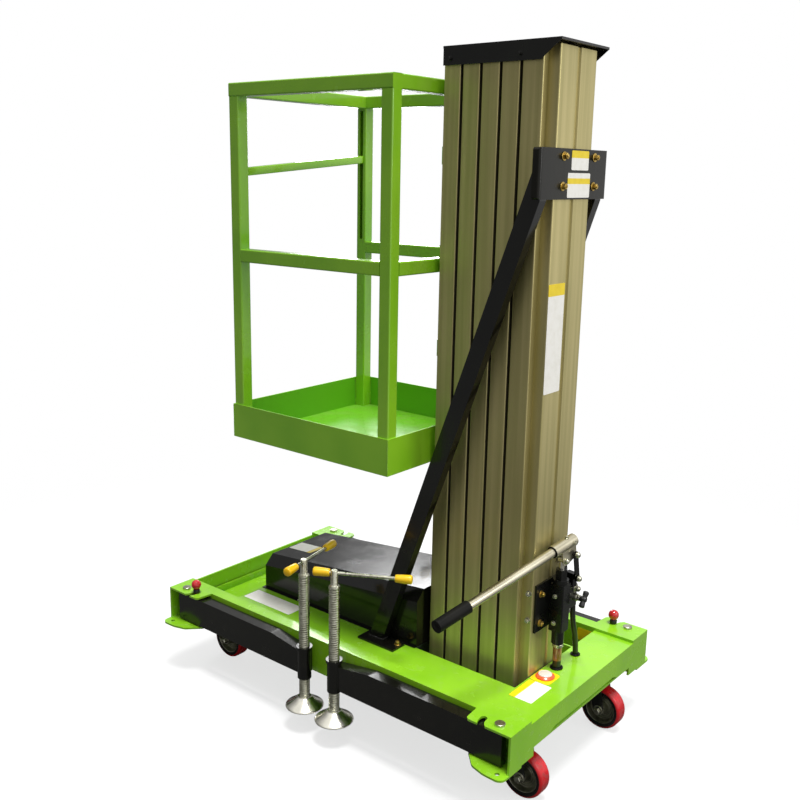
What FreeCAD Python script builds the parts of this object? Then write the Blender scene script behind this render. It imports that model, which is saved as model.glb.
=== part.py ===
import FreeCAD, Part
import math
import os

# Vertical mast lift: a small wheeled base, a telescoping mast of five aluminium
# sections and a one-person basket. Millimetres, +Z up, floor at Z = 0.
# The basket end is -X, the mast end is +X, the near side is -Y.

V = FreeCAD.Vector

# Base frame
base_length = 1340
half_length = base_length / 2
base_top = 268
end_depth = 107
corner_bottom = base_top - end_depth
plate = 6
deck_sheet = 5
deck_drop = 9
deck_top = base_top - deck_drop
rail_outer = 327
rail_width = 40
rail_inner = rail_outer - rail_width
rail_wall = 4
flap_reach = 57
end_half_width = rail_outer + flap_reach
deck_inner = 162
front_well = 215
deck_front = -half_length + front_well
rear_deck = 130
deck_rear_edge = half_length - rear_deck
right_opening = 110
right_deck_end = deck_rear_edge - right_opening
pan_gap = 2
pan_bend = 6

# End plates: the lower edge steps up between the corner flaps
flap_width = 114
flap_rise = 25
step_width = 70
slope_width = 35
middle_rise = 38

# Corner plates
ear_reach = 42
ear_lead = 6
ear_corner = 12
slot_side_gap = 3
slot_sweep = 60
pin_head_rim = 4
pin_head_height = 5
pin_tail = 14
pin_cotter = 12
cotter_radius = 3

# Outrigger arms
pivot_inset = 52
pivot_x = half_length - pivot_inset
pivot_reach = 27
pivot_y = rail_outer + pivot_reach
pivot_pin_radius = 10
lock_radius = 49
lock_angle = 120
lock_hole_radius = 6.5
lock_pin_radius = 6
ball_radius = 16
ball_rise = 28
ball_level = base_top + ball_rise
arm_half_width = 19
arm_wall = 4
arm_play = 5
arm_bottom = corner_bottom + arm_play
arm_top = base_top - plate - arm_play
arm_end_drop = 20
arm_dip = 135
arm_shoulder = 60
hub_play = 0.5
jack_x = 60
jack_offset = 14
jack_y = pivot_y + jack_offset
sleeve_radius = 20.5
sleeve_drop = 8
sleeve_rise = 2
collar_radius = 24
collar_height = 9
gusset_length = 42
running_gap = 0.4

# Jacks
screw_radius = 16
foot_bottom = 66
foot_height = 32
foot_radius = 57
foot_rim = 4
foot_shoulder = 18
foot_dome = 18
thread_length = 386
thread_top = foot_bottom + foot_height + thread_length
head_radius = 10.5
head_length = 47
head_top = thread_top + head_length
bar_drop = 8
bar_level = head_top - bar_drop
bar_radius = 5
grip_radius = 13
grip_length = 48

# Wheels
wheel_radius = 63.5
wheel_width = 46
tyre_round = 9
rim_radius = 48
rim_lip = 4
web_half = 6
boss_radius = 17
axle_radius = 6
nut_radius = 10
nut_height = 5
axle_end = 9
wheel_y = 219
front_wheel_inset = 116.5
front_wheel_x = -half_length + front_wheel_inset
rear_wheel_inset = 50
rear_wheel_x = half_length - rear_wheel_inset
castor_trail = 32
castor_rise = 17
castor_level = corner_bottom + castor_rise
castor_sheet = 4
castor_plate_length = 104
castor_plate_width = 84
crown_half = 30
race_radius = 29
race_height = 10
cheek_gap = 53
cheek_sheet = 3

# Mast
stage_count = 4
stage_pitch = 59.5
stage_gap = 8
mast_half_width = 113
mast_wall = 3.5
slot_y = 68
slot_mouth = 12
slot_width = 27
slot_depth = 8
slot_lip = 4
slide_gap = 1
back_box_half = 90
back_box_depth = 32.5
mast_gap = 3
back_box_rear = deck_rear_edge - mast_gap
mast_front = back_box_rear - back_box_depth - stage_pitch * (stage_count + 1)
mast_bottom = corner_bottom + plate
stage_bottom = mast_bottom + stage_gap
mast_height = 1759
mast_top = mast_bottom + mast_height
groove_half = 9
groove_depth = 5

# Mast cap
cap_gap = 5
cap_sheet = 6
cap_under = mast_top + cap_gap
cap_top = cap_under + cap_sheet
cap_skirt_wall = 1.5
cap_half_width = mast_half_width + cap_gap + cap_skirt_wall
cap_front = mast_front - 1.5
cap_overhang = 18
cap_rear = back_box_rear + cap_overhang
cap_skirt_depth = 48
cap_corner = 2
cap_slope_length = 54

# Basket
basket_gap = 17
basket_rear = mast_front - basket_gap
basket_length = 618
basket_front = basket_rear - basket_length
basket_half_width = 299
floor_level = 816
floor_sheet = 4
toe_height = 104
toe_top = floor_level + toe_height
toe_sheet = 3
rail_height = 1044
rail_top = floor_level + rail_height
tube = 38
tube_corner = 4
tube_wall = 3
mid_rail_drop = 468
mid_rail_top = rail_top - mid_rail_drop
entry_slot = 14
entry_slot_low = rail_top - 460
entry_slot_high = rail_top - 45
entry_drop = 246
entry_level = rail_top - entry_drop
entry_lean = 46
entry_radius = 12.5
mount_half = 70
mount_width = 30
mount_lug = 46
mount_bolt_pitch = 260

# Power pack cover
cover_gap = 8
cover_front = deck_front + cover_gap
cover_mast_gap = 12
cover_rear = mast_front - cover_mast_gap
cover_half = 160
cover_low = deck_top + 111
cover_high = deck_top + 175
cover_chamfer = 32
cover_sheet = 2
cover_lip = 9
pack_gap = 30
pack_height = 163

# Mast bracket and braces
bracket_half = 170
bracket_drop = 242
bracket_top = mast_top - bracket_drop
bracket_height = 124
bracket_bottom = bracket_top - bracket_height
bracket_ear = 22
bracket_bend = 10
bracket_corner = 8
brace_deep = 50
brace_wide = 30
brace_wall = 3
brace_foot_x = mast_front - 137
brace_foot_y = 181
brace_head_x = back_box_rear + 12
brace_head_y = bracket_half - 34
brace_head_level = bracket_top - 19
foot_plate_front = mast_front - 181
foot_plate_length = 136
foot_plate_inner = cover_half + cover_lip + 4
foot_plate_outer = 229

# Hand pump
pump_offset = 33
pump_x = back_box_rear + pump_offset
pump_y = 4
pump_bottom = deck_top + 81
pump_neck = 40
pump_block = pump_bottom + pump_neck
pump_top = pump_block + 140
pump_half = 21
gland_height = 12
gland_nut = 30
gland_radius = 18
pump_plate_low = 8
pump_plate_left = 82
pump_plate_right = 46
valve_half = 14
valve_outer = 74
valve_low = 54
valve_high = 120
knob_level = pump_block + 81
knob_y = valve_outer - 8
knob_reach = 28
knob_half = 22
knob_radius = 6
knob_tilt = 35
plunger_radius = 8
plunger_depth = 50
plunger_rise = 76
plunger_top = pump_top + plunger_rise

# Pump lever
lever_angle = -10
lever_swing = 8.3
lever_rise = 109
lever_level = pump_top + lever_rise
lever_reach = 493
lever_tube_radius = 12.5
lever_grip = 112
socket_radius = 17
socket_end = 20
socket_length = 92
fulcrum_offset = 27
fulcrum_drop = 32
fulcrum_pin = 6
cheek_outer = 14
cheek_inner = 11
cheek_drop = 53
cheek_left = 20
cheek_right = fulcrum_offset + 12
cheek_corner = 10
link_half = 9
link_sheet = 4
link_play = 2
link_foot_y = 49
link_foot_rise = 8
lug_rise = 20

# Hoses
hose_radius = 8
hose_start_y = 80
hose_start = pump_block + 50
return_hose_radius = 12

corners = (
    # name, end sign along X, side sign along Y, lock pin fitted
    ("front_left", -1, -1, True),
    ("rear_left", 1, -1, False),
    ("front_right", -1, 1, False),
    ("rear_right", 1, 1, True),
)

bar_turns = {
    # jack: (turn of the bar from +X, reach along it, reach the other way)
    "front_left": (78, 65, 142),
    "rear_left": (151, 37, 198),
    "front_right": (78, 65, 142),
    "rear_right": (151, 37, 198),
}

deck_holes = {
    # what passes: (x, y, radius)
    "pressure_hose": (pump_x + 1, pump_y + 109, 11),
    "return_hose": (pump_x - 1, pump_y + 5, 14),
    "stop_button": (pump_x + 1, pump_y - 60, 12),
}


def spot(axis, u, v, w):
    """The point with in-plane coordinates u, v at height w along the named axis."""
    if axis == "x":
        return V(w, u, v)
    if axis == "y":
        return V(u, w, v)
    return V(u, v, w)


def outline(points, axis, level):
    """Closed wire through (u, v) or (u, v, corner radius) points."""
    starts = []
    ends = []
    middles = []
    count = len(points)
    for i in range(count):
        here = V(points[i][0], points[i][1], 0)
        radius = points[i][2] if len(points[i]) > 2 else 0
        back = V(*points[i - 1][:2], 0) - here
        ahead = V(*points[(i + 1) % count][:2], 0) - here
        back.normalize()
        ahead.normalize()
        if radius == 0:
            starts.append(here)
            ends.append(here)
            middles.append(None)
            continue
        half = back.getAngle(ahead) / 2
        reach = radius / math.tan(half)
        inward = back + ahead
        inward.normalize()
        starts.append(here + back * reach)
        ends.append(here + ahead * reach)
        middles.append(here + inward * (radius / math.sin(half) - radius))
    edges = []
    for i in range(count):
        if middles[i] is not None:
            arc = [spot(axis, p.x, p.y, level) for p in (starts[i], middles[i], ends[i])]
            edges.append(Part.Arc(*arc).toShape())
        start = spot(axis, ends[i].x, ends[i].y, level)
        following = starts[(i + 1) % count]
        end = spot(axis, following.x, following.y, level)
        if start.distanceToPoint(end) > 1e-6:
            edges.append(Part.makeLine(start, end))
    return Part.Wire(edges)


def prism(points, axis, low, high):
    """Solid from a flat outline, from one level to another along the axis."""
    face = Part.Face(outline(points, axis, low))
    return face.extrude(spot(axis, 0, 0, high - low))


def block(x0, x1, y0, y1, z0, z1):
    return Part.makeBox(x1 - x0, y1 - y0, z1 - z0, V(x0, y0, z0))


def post(x, y, radius, z0, z1):
    """Upright round bar."""
    return Part.makeCylinder(radius, z1 - z0, V(x, y, z0))


def bar(start, end, radius):
    """Round bar between two points."""
    along = end - start
    return Part.makeCylinder(radius, along.Length, start, along)


def turned(points, centre, axis):
    """Turned solid: (radius, distance along the axis) points about an axis."""
    face = Part.Face(outline(points, "y", 0))
    solid = face.revolve(V(0, 0, 0), V(0, 0, 1), 360)
    solid.Placement = FreeCAD.Placement(centre, FreeCAD.Rotation(V(0, 0, 1), axis))
    return solid


def mirrored(shape, end, side):
    """Copy of a shape made in the +X +Y corner, put in another corner."""
    copy = shape.copy()
    if end < 0:
        copy = copy.mirror(V(0, 0, 0), V(1, 0, 0))
    if side < 0:
        copy = copy.mirror(V(0, 0, 0), V(0, 1, 0))
    return copy


def box_tube(points, axis, low, high, wall):
    """Hollow section: the outline's straight box with a smaller one taken out."""
    us = [p[0] for p in points]
    vs = [p[1] for p in points]
    inner = (
        (min(us) + wall, min(vs) + wall),
        (max(us) - wall, min(vs) + wall),
        (max(us) - wall, max(vs) - wall),
        (min(us) + wall, max(vs) - wall),
    )
    return prism(points, axis, low, high).cut(prism(inner, axis, low, high))


def square_tube(axis, u, v, low, high):
    """Square basket tube with its middle at u, v."""
    half = tube / 2
    ring = [(u + a * half, v + b * half, tube_corner) for a, b in ((-1, -1), (1, -1), (1, 1), (-1, 1))]
    return prism(ring, axis, low, high)


def save(name, *solids):
    shape = solids[0] if len(solids) == 1 else Part.makeCompound(list(solids))
    shape.exportStep("parts/%s.step" % name)


# Side rails: box sections the length of the base, between the end plates
def rails():
    inside = half_length - plate
    solids = []
    for side in (-1, 1):
        ring = (
            (side * rail_inner, corner_bottom),
            (side * rail_outer, corner_bottom),
            (side * rail_outer, base_top),
            (side * rail_inner, base_top),
        )
        solids.append(box_tube(ring, "x", -inside, inside, rail_wall))
    save("side_rails", *solids)


# End plates: full depth at the corners, cut away in the middle
def end_plates():
    flap_inner = end_half_width - flap_width
    step_inner = flap_inner - step_width
    half = (
        # distance from the middle, height
        (end_half_width, base_top),
        (end_half_width, corner_bottom),
        (flap_inner, corner_bottom),
        (flap_inner, corner_bottom + flap_rise),
        (step_inner, corner_bottom + flap_rise),
        (step_inner - slope_width, corner_bottom + middle_rise),
    )
    top_step = ((-rail_inner, base_top), (-rail_inner, deck_top), (rail_inner, deck_top), (rail_inner, base_top))
    ring = list(top_step) + list(half) + [(-y, z) for y, z in reversed(half)]
    save("end_front", prism(ring, "x", -half_length, -half_length + plate))
    save("end_rear", prism(ring, "x", half_length - plate, half_length))


# Corner plates: an ear with a slot along the lock pin's path and a lobed plate below
def corner_plates():
    inside = half_length - plate
    lock_x = pivot_x - lock_radius
    ear = (
        (lock_x - ear_reach, rail_outer),
        (lock_x - ear_reach + ear_lead, end_half_width, ear_corner),
        (inside, end_half_width),
        (inside, rail_outer),
    )
    lobe = (
        (lock_x - 46, rail_outer),
        (lock_x - 38, pivot_y + 10, 14),
        (lock_x + 2, pivot_y + 52, 26),
        (pivot_x - 6, pivot_y + 64, 60),
        (half_length, pivot_y + 66, 20),
        (half_length, rail_outer),
    )
    notch = lock_pin_radius + slot_side_gap
    far = lock_radius * 3
    wedge = [(pivot_x, pivot_y), (pivot_x - far, pivot_y)]
    for turn in (slot_sweep / 2, slot_sweep):
        angle = math.radians(180 - turn)
        wedge.append((pivot_x + far * math.cos(angle), pivot_y + far * math.sin(angle)))
    path = post(pivot_x, pivot_y, lock_radius + notch, 0, base_top)
    path = path.cut(post(pivot_x, pivot_y, lock_radius - notch, 0, base_top))
    path = path.common(prism(wedge, "z", 0, base_top)).fuse(post(lock_x, pivot_y, notch, 0, base_top))
    swing = math.radians(180 - lock_angle)
    hole_x = pivot_x + lock_radius * math.cos(swing)
    hole_y = pivot_y + lock_radius * math.sin(swing)
    pivot_hole = post(pivot_x, pivot_y, pivot_pin_radius, 0, base_top)
    top = prism(ear, "z", base_top - plate, base_top).cut(path).cut(pivot_hole)
    bottom = prism(lobe, "z", corner_bottom - plate, corner_bottom).cut(pivot_hole)
    bottom = bottom.cut(post(hole_x, hole_y, lock_hole_radius, 0, base_top))
    pin_bottom = corner_bottom - pin_tail
    pin = post(pivot_x, pivot_y, pivot_pin_radius, pin_bottom, base_top)
    pin = pin.fuse(post(pivot_x, pivot_y, pivot_pin_radius + pin_head_rim, base_top, base_top + pin_head_height))
    pin = pin.fuse(post(pivot_x, pivot_y, cotter_radius, pin_bottom - pin_cotter, pin_bottom))
    save("corner_ears", *[mirrored(top, end, side) for name, end, side, locked in corners])
    save("corner_lobes", *[mirrored(bottom, end, side) for name, end, side, locked in corners])
    save("pivot_pins", *[mirrored(pin, end, side) for name, end, side, locked in corners])


# Deck: one sheet round the mast opening, with holes for the hoses
def deck():
    inside = half_length - plate
    ring = (
        (deck_front, -rail_inner),
        (inside, -rail_inner),
        (inside, rail_inner),
        (deck_rear_edge, rail_inner),
        (deck_rear_edge, -deck_inner, 3),
        (deck_front, -deck_inner),
    )
    sheet = prism(ring, "z", deck_top - deck_sheet, deck_top)
    for x, y, radius in deck_holes.values():
        sheet = sheet.cut(post(x, y, radius, 0, base_top))
    strip = block(deck_front, right_deck_end, deck_inner, rail_inner, deck_top - deck_sheet, deck_top)
    save("deck", sheet, strip)


# Floor pan under the mast and the power pack, with turned-up sides
def floor_pan():
    side = deck_inner - pan_gap
    under_deck = deck_top - deck_sheet
    ring = (
        (-side, under_deck),
        (-side, corner_bottom, pan_bend),
        (side, corner_bottom, pan_bend),
        (side, under_deck),
        (side - deck_sheet, under_deck),
        (side - deck_sheet, corner_bottom + plate),
        (-side + deck_sheet, corner_bottom + plate),
        (-side + deck_sheet, under_deck),
    )
    save("floor_pan", prism(ring, "x", deck_front, deck_rear_edge))


# Cross plates that carry the castors, one at each end
def cross_plates():
    inside = half_length - plate
    front = block(-inside, deck_front, -rail_inner, rail_inner, castor_level, castor_level + plate)
    rear = block(deck_rear_edge, inside, -rail_inner, rail_inner, castor_level, castor_level + plate)
    save("cross_plates", front, rear)


# Wheel: a rim with a dished web and boss, and a moulded tyre
def wheel_solids(x, y):
    half = wheel_width / 2
    lip = half - rim_lip
    bore = axle_radius + running_gap
    middle = V(x, y, wheel_radius)
    tyre = (
        (rim_radius, -half),
        (wheel_radius, -half, tyre_round),
        (wheel_radius, half, tyre_round),
        (rim_radius, half),
    )
    hub = (
        (bore, -half - 1),
        (boss_radius, -half - 1),
        (boss_radius + 3, -web_half),
        (rim_radius - 2 * rim_lip, -web_half),
        (rim_radius - rim_lip, -lip),
        (rim_radius, -lip),
        (rim_radius, lip),
        (rim_radius - rim_lip, lip),
        (rim_radius - 2 * rim_lip, web_half),
        (boss_radius + 3, web_half),
        (boss_radius, half + 1),
        (bore, half + 1),
    )
    return turned(tyre, middle, V(0, 1, 0)), turned(hub, middle, V(0, 1, 0))


# Fork cheeks and axle round a wheel at wheel_x, hung from a head at head_x
def fork_solids(head_x, wheel_x, y, top):
    half = cheek_gap / 2
    outer = half + cheek_sheet
    lean = (
        (head_x - crown_half, top, 2),
        (wheel_x - 13, wheel_radius - 6, 12),
        (wheel_x + 13, wheel_radius - 12, 12),
        (wheel_x + 14, wheel_radius + 8, 8),
        (head_x + crown_half, top, 2),
    )
    fork = block(head_x - crown_half, head_x + crown_half, y - outer, y + outer, top - castor_sheet, top)
    for side in (-1, 1):
        near, far = sorted((y + side * half, y + side * outer))
        fork = fork.fuse(prism(lean, "y", near, far))
        nut_start = y + side * outer
        fork = fork.fuse(bar(V(wheel_x, nut_start, wheel_radius),
                             V(wheel_x, nut_start + side * nut_height, wheel_radius), nut_radius))
    reach = half + axle_end
    axle = bar(V(wheel_x, y - reach, wheel_radius), V(wheel_x, y + reach, wheel_radius), axle_radius)
    return fork.fuse(axle).removeSplitter()


def castors():
    front_castors = []
    rear_plates = []
    head_x = rear_wheel_x - castor_trail
    under = castor_level - castor_sheet
    race = under - race_height
    half_x = castor_plate_length / 2
    half_y = castor_plate_width / 2
    for name, side in (("left", -1), ("right", 1)):
        y = side * wheel_y
        front_plate = block(front_wheel_x - half_x, front_wheel_x + half_x, y - half_y, y + half_y, under, castor_level)
        front_fork = fork_solids(front_wheel_x, front_wheel_x, y, under)
        front_castors.append(front_plate.fuse(front_fork).removeSplitter())
        tyre, hub = wheel_solids(front_wheel_x, y)
        save("tyre_front_" + name, tyre)
        save("hub_front_" + name, hub)
        rear_plate = block(head_x - half_x, head_x + half_x, y - half_y, y + half_y, under, castor_level)
        rear_plate = rear_plate.fuse(post(head_x, y, race_radius, race + running_gap, under))
        rear_plates.append(rear_plate.removeSplitter())
        save("castor_fork_" + name, fork_solids(head_x, rear_wheel_x, y, race))
        tyre, hub = wheel_solids(rear_wheel_x, y)
        save("tyre_rear_" + name, tyre)
        save("hub_rear_" + name, hub)
    save("front_castors", *front_castors)
    save("castor_plates", *rear_plates)


# Outrigger arm: a box section on its corner pin, its end round towards the rail, dipping to the jack sleeve
def arms():
    end_top = arm_top - arm_end_drop
    side_view = (
        (pivot_x, arm_bottom),
        (pivot_x, arm_top),
        (jack_x + arm_dip, arm_top, arm_shoulder),
        (jack_x, end_top),
        (jack_x, arm_bottom),
    )
    hollow = (
        (pivot_x, arm_bottom + arm_wall),
        (pivot_x, arm_top - arm_wall),
        (jack_x + arm_dip, arm_top - arm_wall, arm_shoulder),
        (jack_x + sleeve_radius, end_top - arm_wall),
        (jack_x + sleeve_radius, arm_bottom + arm_wall),
    )
    near = pivot_y - arm_half_width
    far = pivot_y + arm_half_width
    sleeve_bottom = arm_bottom - sleeve_drop
    sleeve_top = arm_top + sleeve_rise
    arm = prism(side_view, "y", near, far)
    arm = arm.cut(prism(hollow, "y", near + arm_wall, far - arm_wall))
    arm = arm.fuse(post(pivot_x, pivot_y, arm_half_width, arm_bottom, arm_top))
    arm = arm.fuse(block(pivot_x, pivot_x + arm_half_width, pivot_y, far, arm_bottom, arm_top))
    boss = arm_half_width - arm_wall
    arm = arm.fuse(post(pivot_x, pivot_y, boss, corner_bottom + hub_play, base_top - plate - hub_play))
    gusset = ((jack_x, arm_bottom), (jack_x, sleeve_bottom), (jack_x + gusset_length, arm_bottom))
    arm = arm.fuse(prism(gusset, "y", jack_y - sleeve_drop, jack_y))
    arm = arm.fuse(post(jack_x, jack_y, sleeve_radius, sleeve_bottom, sleeve_top))
    arm = arm.fuse(post(jack_x, jack_y, collar_radius, sleeve_top - collar_height, sleeve_top))
    arm = arm.cut(post(jack_x, jack_y, screw_radius + running_gap, 0, base_top))
    arm = arm.cut(post(pivot_x, pivot_y, pivot_pin_radius + running_gap, 0, base_top)).removeSplitter()
    lock = post(pivot_x - lock_radius, pivot_y, lock_pin_radius, arm_top, ball_level)
    lock = lock.fuse(Part.makeSphere(ball_radius, V(pivot_x - lock_radius, pivot_y, ball_level)))
    for name, end, side, locked in corners:
        save("arm_" + name, mirrored(arm, end, side))
        if locked:
            save("lock_" + name, mirrored(lock, end, side))


# Jacks: a screw with a domed foot, turned by a sliding bar with two grips
def jacks():
    foot_top = foot_bottom + foot_height
    foot = (
        (0, foot_bottom),
        (foot_radius, foot_bottom),
        (foot_radius, foot_bottom + foot_rim),
        (foot_radius - foot_shoulder, foot_bottom + foot_dome, 30),
        (screw_radius + 5, foot_top - foot_rim, 6),
        (screw_radius + 3, foot_top),
        (0, foot_top),
    )
    screw = turned(foot, V(jack_x, jack_y, 0), V(0, 0, 1))
    screw = screw.fuse(post(jack_x, jack_y, screw_radius, foot_top, thread_top))
    screw = screw.fuse(post(jack_x, jack_y, head_radius, thread_top, head_top))
    grip = (
        (bar_radius, 0),
        (grip_radius - 2, 0),
        (grip_radius, grip_length - 4),
        (grip_radius - 4, grip_length),
        (0, grip_length),
        (0, grip_length / 2),
        (bar_radius, grip_length / 2),
    )
    for name, end, side, locked in corners:
        turn, long_end, short_end = bar_turns[name]
        along = V(math.cos(math.radians(turn)), side * math.sin(math.radians(turn)), 0)
        middle = V(end * jack_x, side * jack_y, bar_level)
        tips = ((middle + along * long_end, along), (middle - along * short_end, along * -1))
        rod = bar(tips[0][0], tips[1][0], bar_radius)
        save("jack_" + name, mirrored(screw, end, side).fuse(rod).removeSplitter())
        save("grips_" + name, *[turned(grip, tip - way * (grip_length / 2), way) for tip, way in tips])


# Mast sections: aluminium extrusions with tee rails at the back that run in the
# tee slots of the section behind
def section_solid(front, depth, low, high, slotted, railed):
    half = mast_half_width
    rear = front + depth
    ring = ((front, -half, 3), (rear, -half, 3), (rear, half, 3), (front, half, 3))
    solid = prism(ring, "z", low, high)
    hollow = block(front + mast_wall, rear - mast_wall, -half + mast_wall, half - mast_wall, low, high)
    solid = solid.cut(hollow)
    for side in (-1, 1):
        y = side * slot_y
        if slotted:
            back = front + slot_lip + slot_depth
            jacket = slot_width / 2 + mast_wall
            solid = solid.fuse(block(front, back + mast_wall, y - jacket, y + jacket, low, high))
            solid = solid.cut(block(front + slot_lip, back, y - slot_width / 2, y + slot_width / 2, low, high))
            solid = solid.cut(block(front, front + slot_lip, y - slot_mouth / 2, y + slot_mouth / 2, low, high))
        if railed:
            neck = slot_mouth / 2 - slide_gap
            head = slot_width / 2 - slide_gap
            head_start = rear + stage_gap + slot_lip + slide_gap
            head_end = rear + stage_gap + slot_lip + slot_depth - slide_gap
            solid = solid.fuse(block(rear, head_start, y - neck, y + neck, low, high))
            solid = solid.fuse(block(head_start, head_end, y - head, y + head, low, high))
    web = block(front, rear, -mast_wall / 2, mast_wall / 2, low, high)
    return solid.fuse(web).removeSplitter()


def mast():
    depth = stage_pitch - stage_gap
    for number in range(1, stage_count + 1):
        front = mast_front + stage_pitch * (stage_count - number)
        last = number == stage_count
        top = cap_under if last else mast_top
        save("mast_stage_%d" % number, section_solid(front, depth, stage_bottom, top, not last, True))
    front = mast_front + stage_pitch * stage_count
    rear = front + stage_pitch
    fixed = section_solid(front, stage_pitch, mast_bottom, mast_top, True, False)
    half = back_box_half
    groove_front = back_box_rear - groove_depth
    ring = (
        (rear, -half),
        (back_box_rear, -half, 4),
        (back_box_rear, -groove_half),
        (groove_front, -groove_half + 2),
        (groove_front, groove_half - 2),
        (back_box_rear, groove_half),
        (back_box_rear, half, 4),
        (rear, half),
    )
    back = prism(ring, "z", mast_bottom, mast_top)
    wall = mast_wall
    for y0, y1 in ((-half + wall, -groove_half - wall), (groove_half + wall, half - wall)):
        back = back.cut(block(rear, back_box_rear - wall, y0, y1, mast_bottom, mast_top))
    save("mast_fixed", fixed.fuse(back).removeSplitter())


# Mast cap: a lid with side skirts that slope up to the rear
def mast_cap():
    half = cap_half_width
    plan = ((cap_front, -half), (cap_rear, -half), (cap_rear, half), (cap_front, half))
    lid = prism([(x, y, cap_corner) for x, y in plan], "z", cap_under, cap_top)
    skirt_bottom = cap_top - cap_skirt_depth
    skirt_rear = cap_rear - cap_corner
    skirt = (
        (cap_front + cap_corner, cap_under),
        (cap_front + cap_corner, skirt_bottom),
        (skirt_rear - cap_slope_length, skirt_bottom),
        (skirt_rear, cap_under),
    )
    for side in (-1, 1):
        low, high = sorted((side * half, side * (half - cap_skirt_wall)))
        lid = lid.fuse(prism(skirt, "y", low, high))
    save("mast_cap", lid.removeSplitter())


# Bracket on the back of the mast, its ends turned forward for the braces
def mast_bracket():
    rear = back_box_rear + plate
    ear = rear - bracket_ear
    half = bracket_half
    ring = (
        (ear, -half),
        (rear, -half, bracket_bend),
        (rear, half, bracket_bend),
        (ear, half),
        (ear, half - plate),
        (back_box_rear, half - plate, bracket_bend - plate),
        (back_box_rear, -half + plate, bracket_bend - plate),
        (ear, -half + plate),
    )
    face = ((-half, bracket_bottom), (half, bracket_bottom), (half, bracket_top), (-half, bracket_top))
    corners_off = prism([(y, z, bracket_corner) for y, z in face], "x", ear, rear)
    save("mast_bracket", prism(ring, "z", bracket_bottom, bracket_top).common(corners_off))


# Braces: box tubes from a foot plate on the deck, cut off behind the mast bracket
def braces():
    foot_top = deck_top + plate
    behind = block(back_box_rear, back_box_rear + brace_deep, -bracket_half, bracket_half, deck_top, mast_top)
    for name, side in (("left", -1), ("right", 1)):
        rings = []
        for inset in (0, brace_wall):
            deep = brace_deep / 2 - inset
            wide = brace_wide / 2 - inset
            ends = []
            for x, y, z in ((brace_foot_x, side * brace_foot_y, foot_top),
                            (brace_head_x, side * brace_head_y, brace_head_level)):
                ends.append(outline(((x - deep, y - wide), (x + deep, y - wide),
                                     (x + deep, y + wide), (x - deep, y + wide)), "z", z))
            rings.append(Part.makeLoft(ends, True, True))
        low, high = sorted((side * foot_plate_inner, side * foot_plate_outer))
        tube_solid = rings[0].cut(rings[1]).cut(behind)
        foot = block(foot_plate_front, foot_plate_front + foot_plate_length, low, high, deck_top, foot_top)
        save("brace_" + name, tube_solid.fuse(foot).removeSplitter())


# Power pack cover: a sheet box with a sloping top and chamfered long edges
def power_cover():
    shells = []
    for inset in (0, cover_sheet):
        half = cover_half - inset
        cut = cover_chamfer - inset * (2 - math.sqrt(2))
        ends = []
        for x, height in ((cover_front + inset, cover_low), (cover_rear - inset, cover_high)):
            top = height - inset
            ends.append(outline(((-half, deck_top), (-half, top - cut), (-half + cut, top),
                                 (half - cut, top), (half, top - cut), (half, deck_top)), "x", x))
        shells.append(Part.makeLoft(ends, True, True))
    cover = shells[0].cut(shells[1])
    reach = cover_half + cover_lip
    lip = block(deck_front, cover_rear, -reach, reach, deck_top, deck_top + cover_sheet)
    half = cover_half - cover_sheet
    lip = lip.cut(block(cover_front + cover_sheet, cover_rear, -half, half, deck_top, deck_top + cover_sheet))
    save("power_cover", cover.fuse(lip).removeSplitter())
    floor = corner_bottom + plate
    half = cover_half - pack_gap
    save("power_pack", block(deck_front + pack_gap, cover_rear - pack_gap, -half, half, floor, floor + pack_height))


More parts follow.
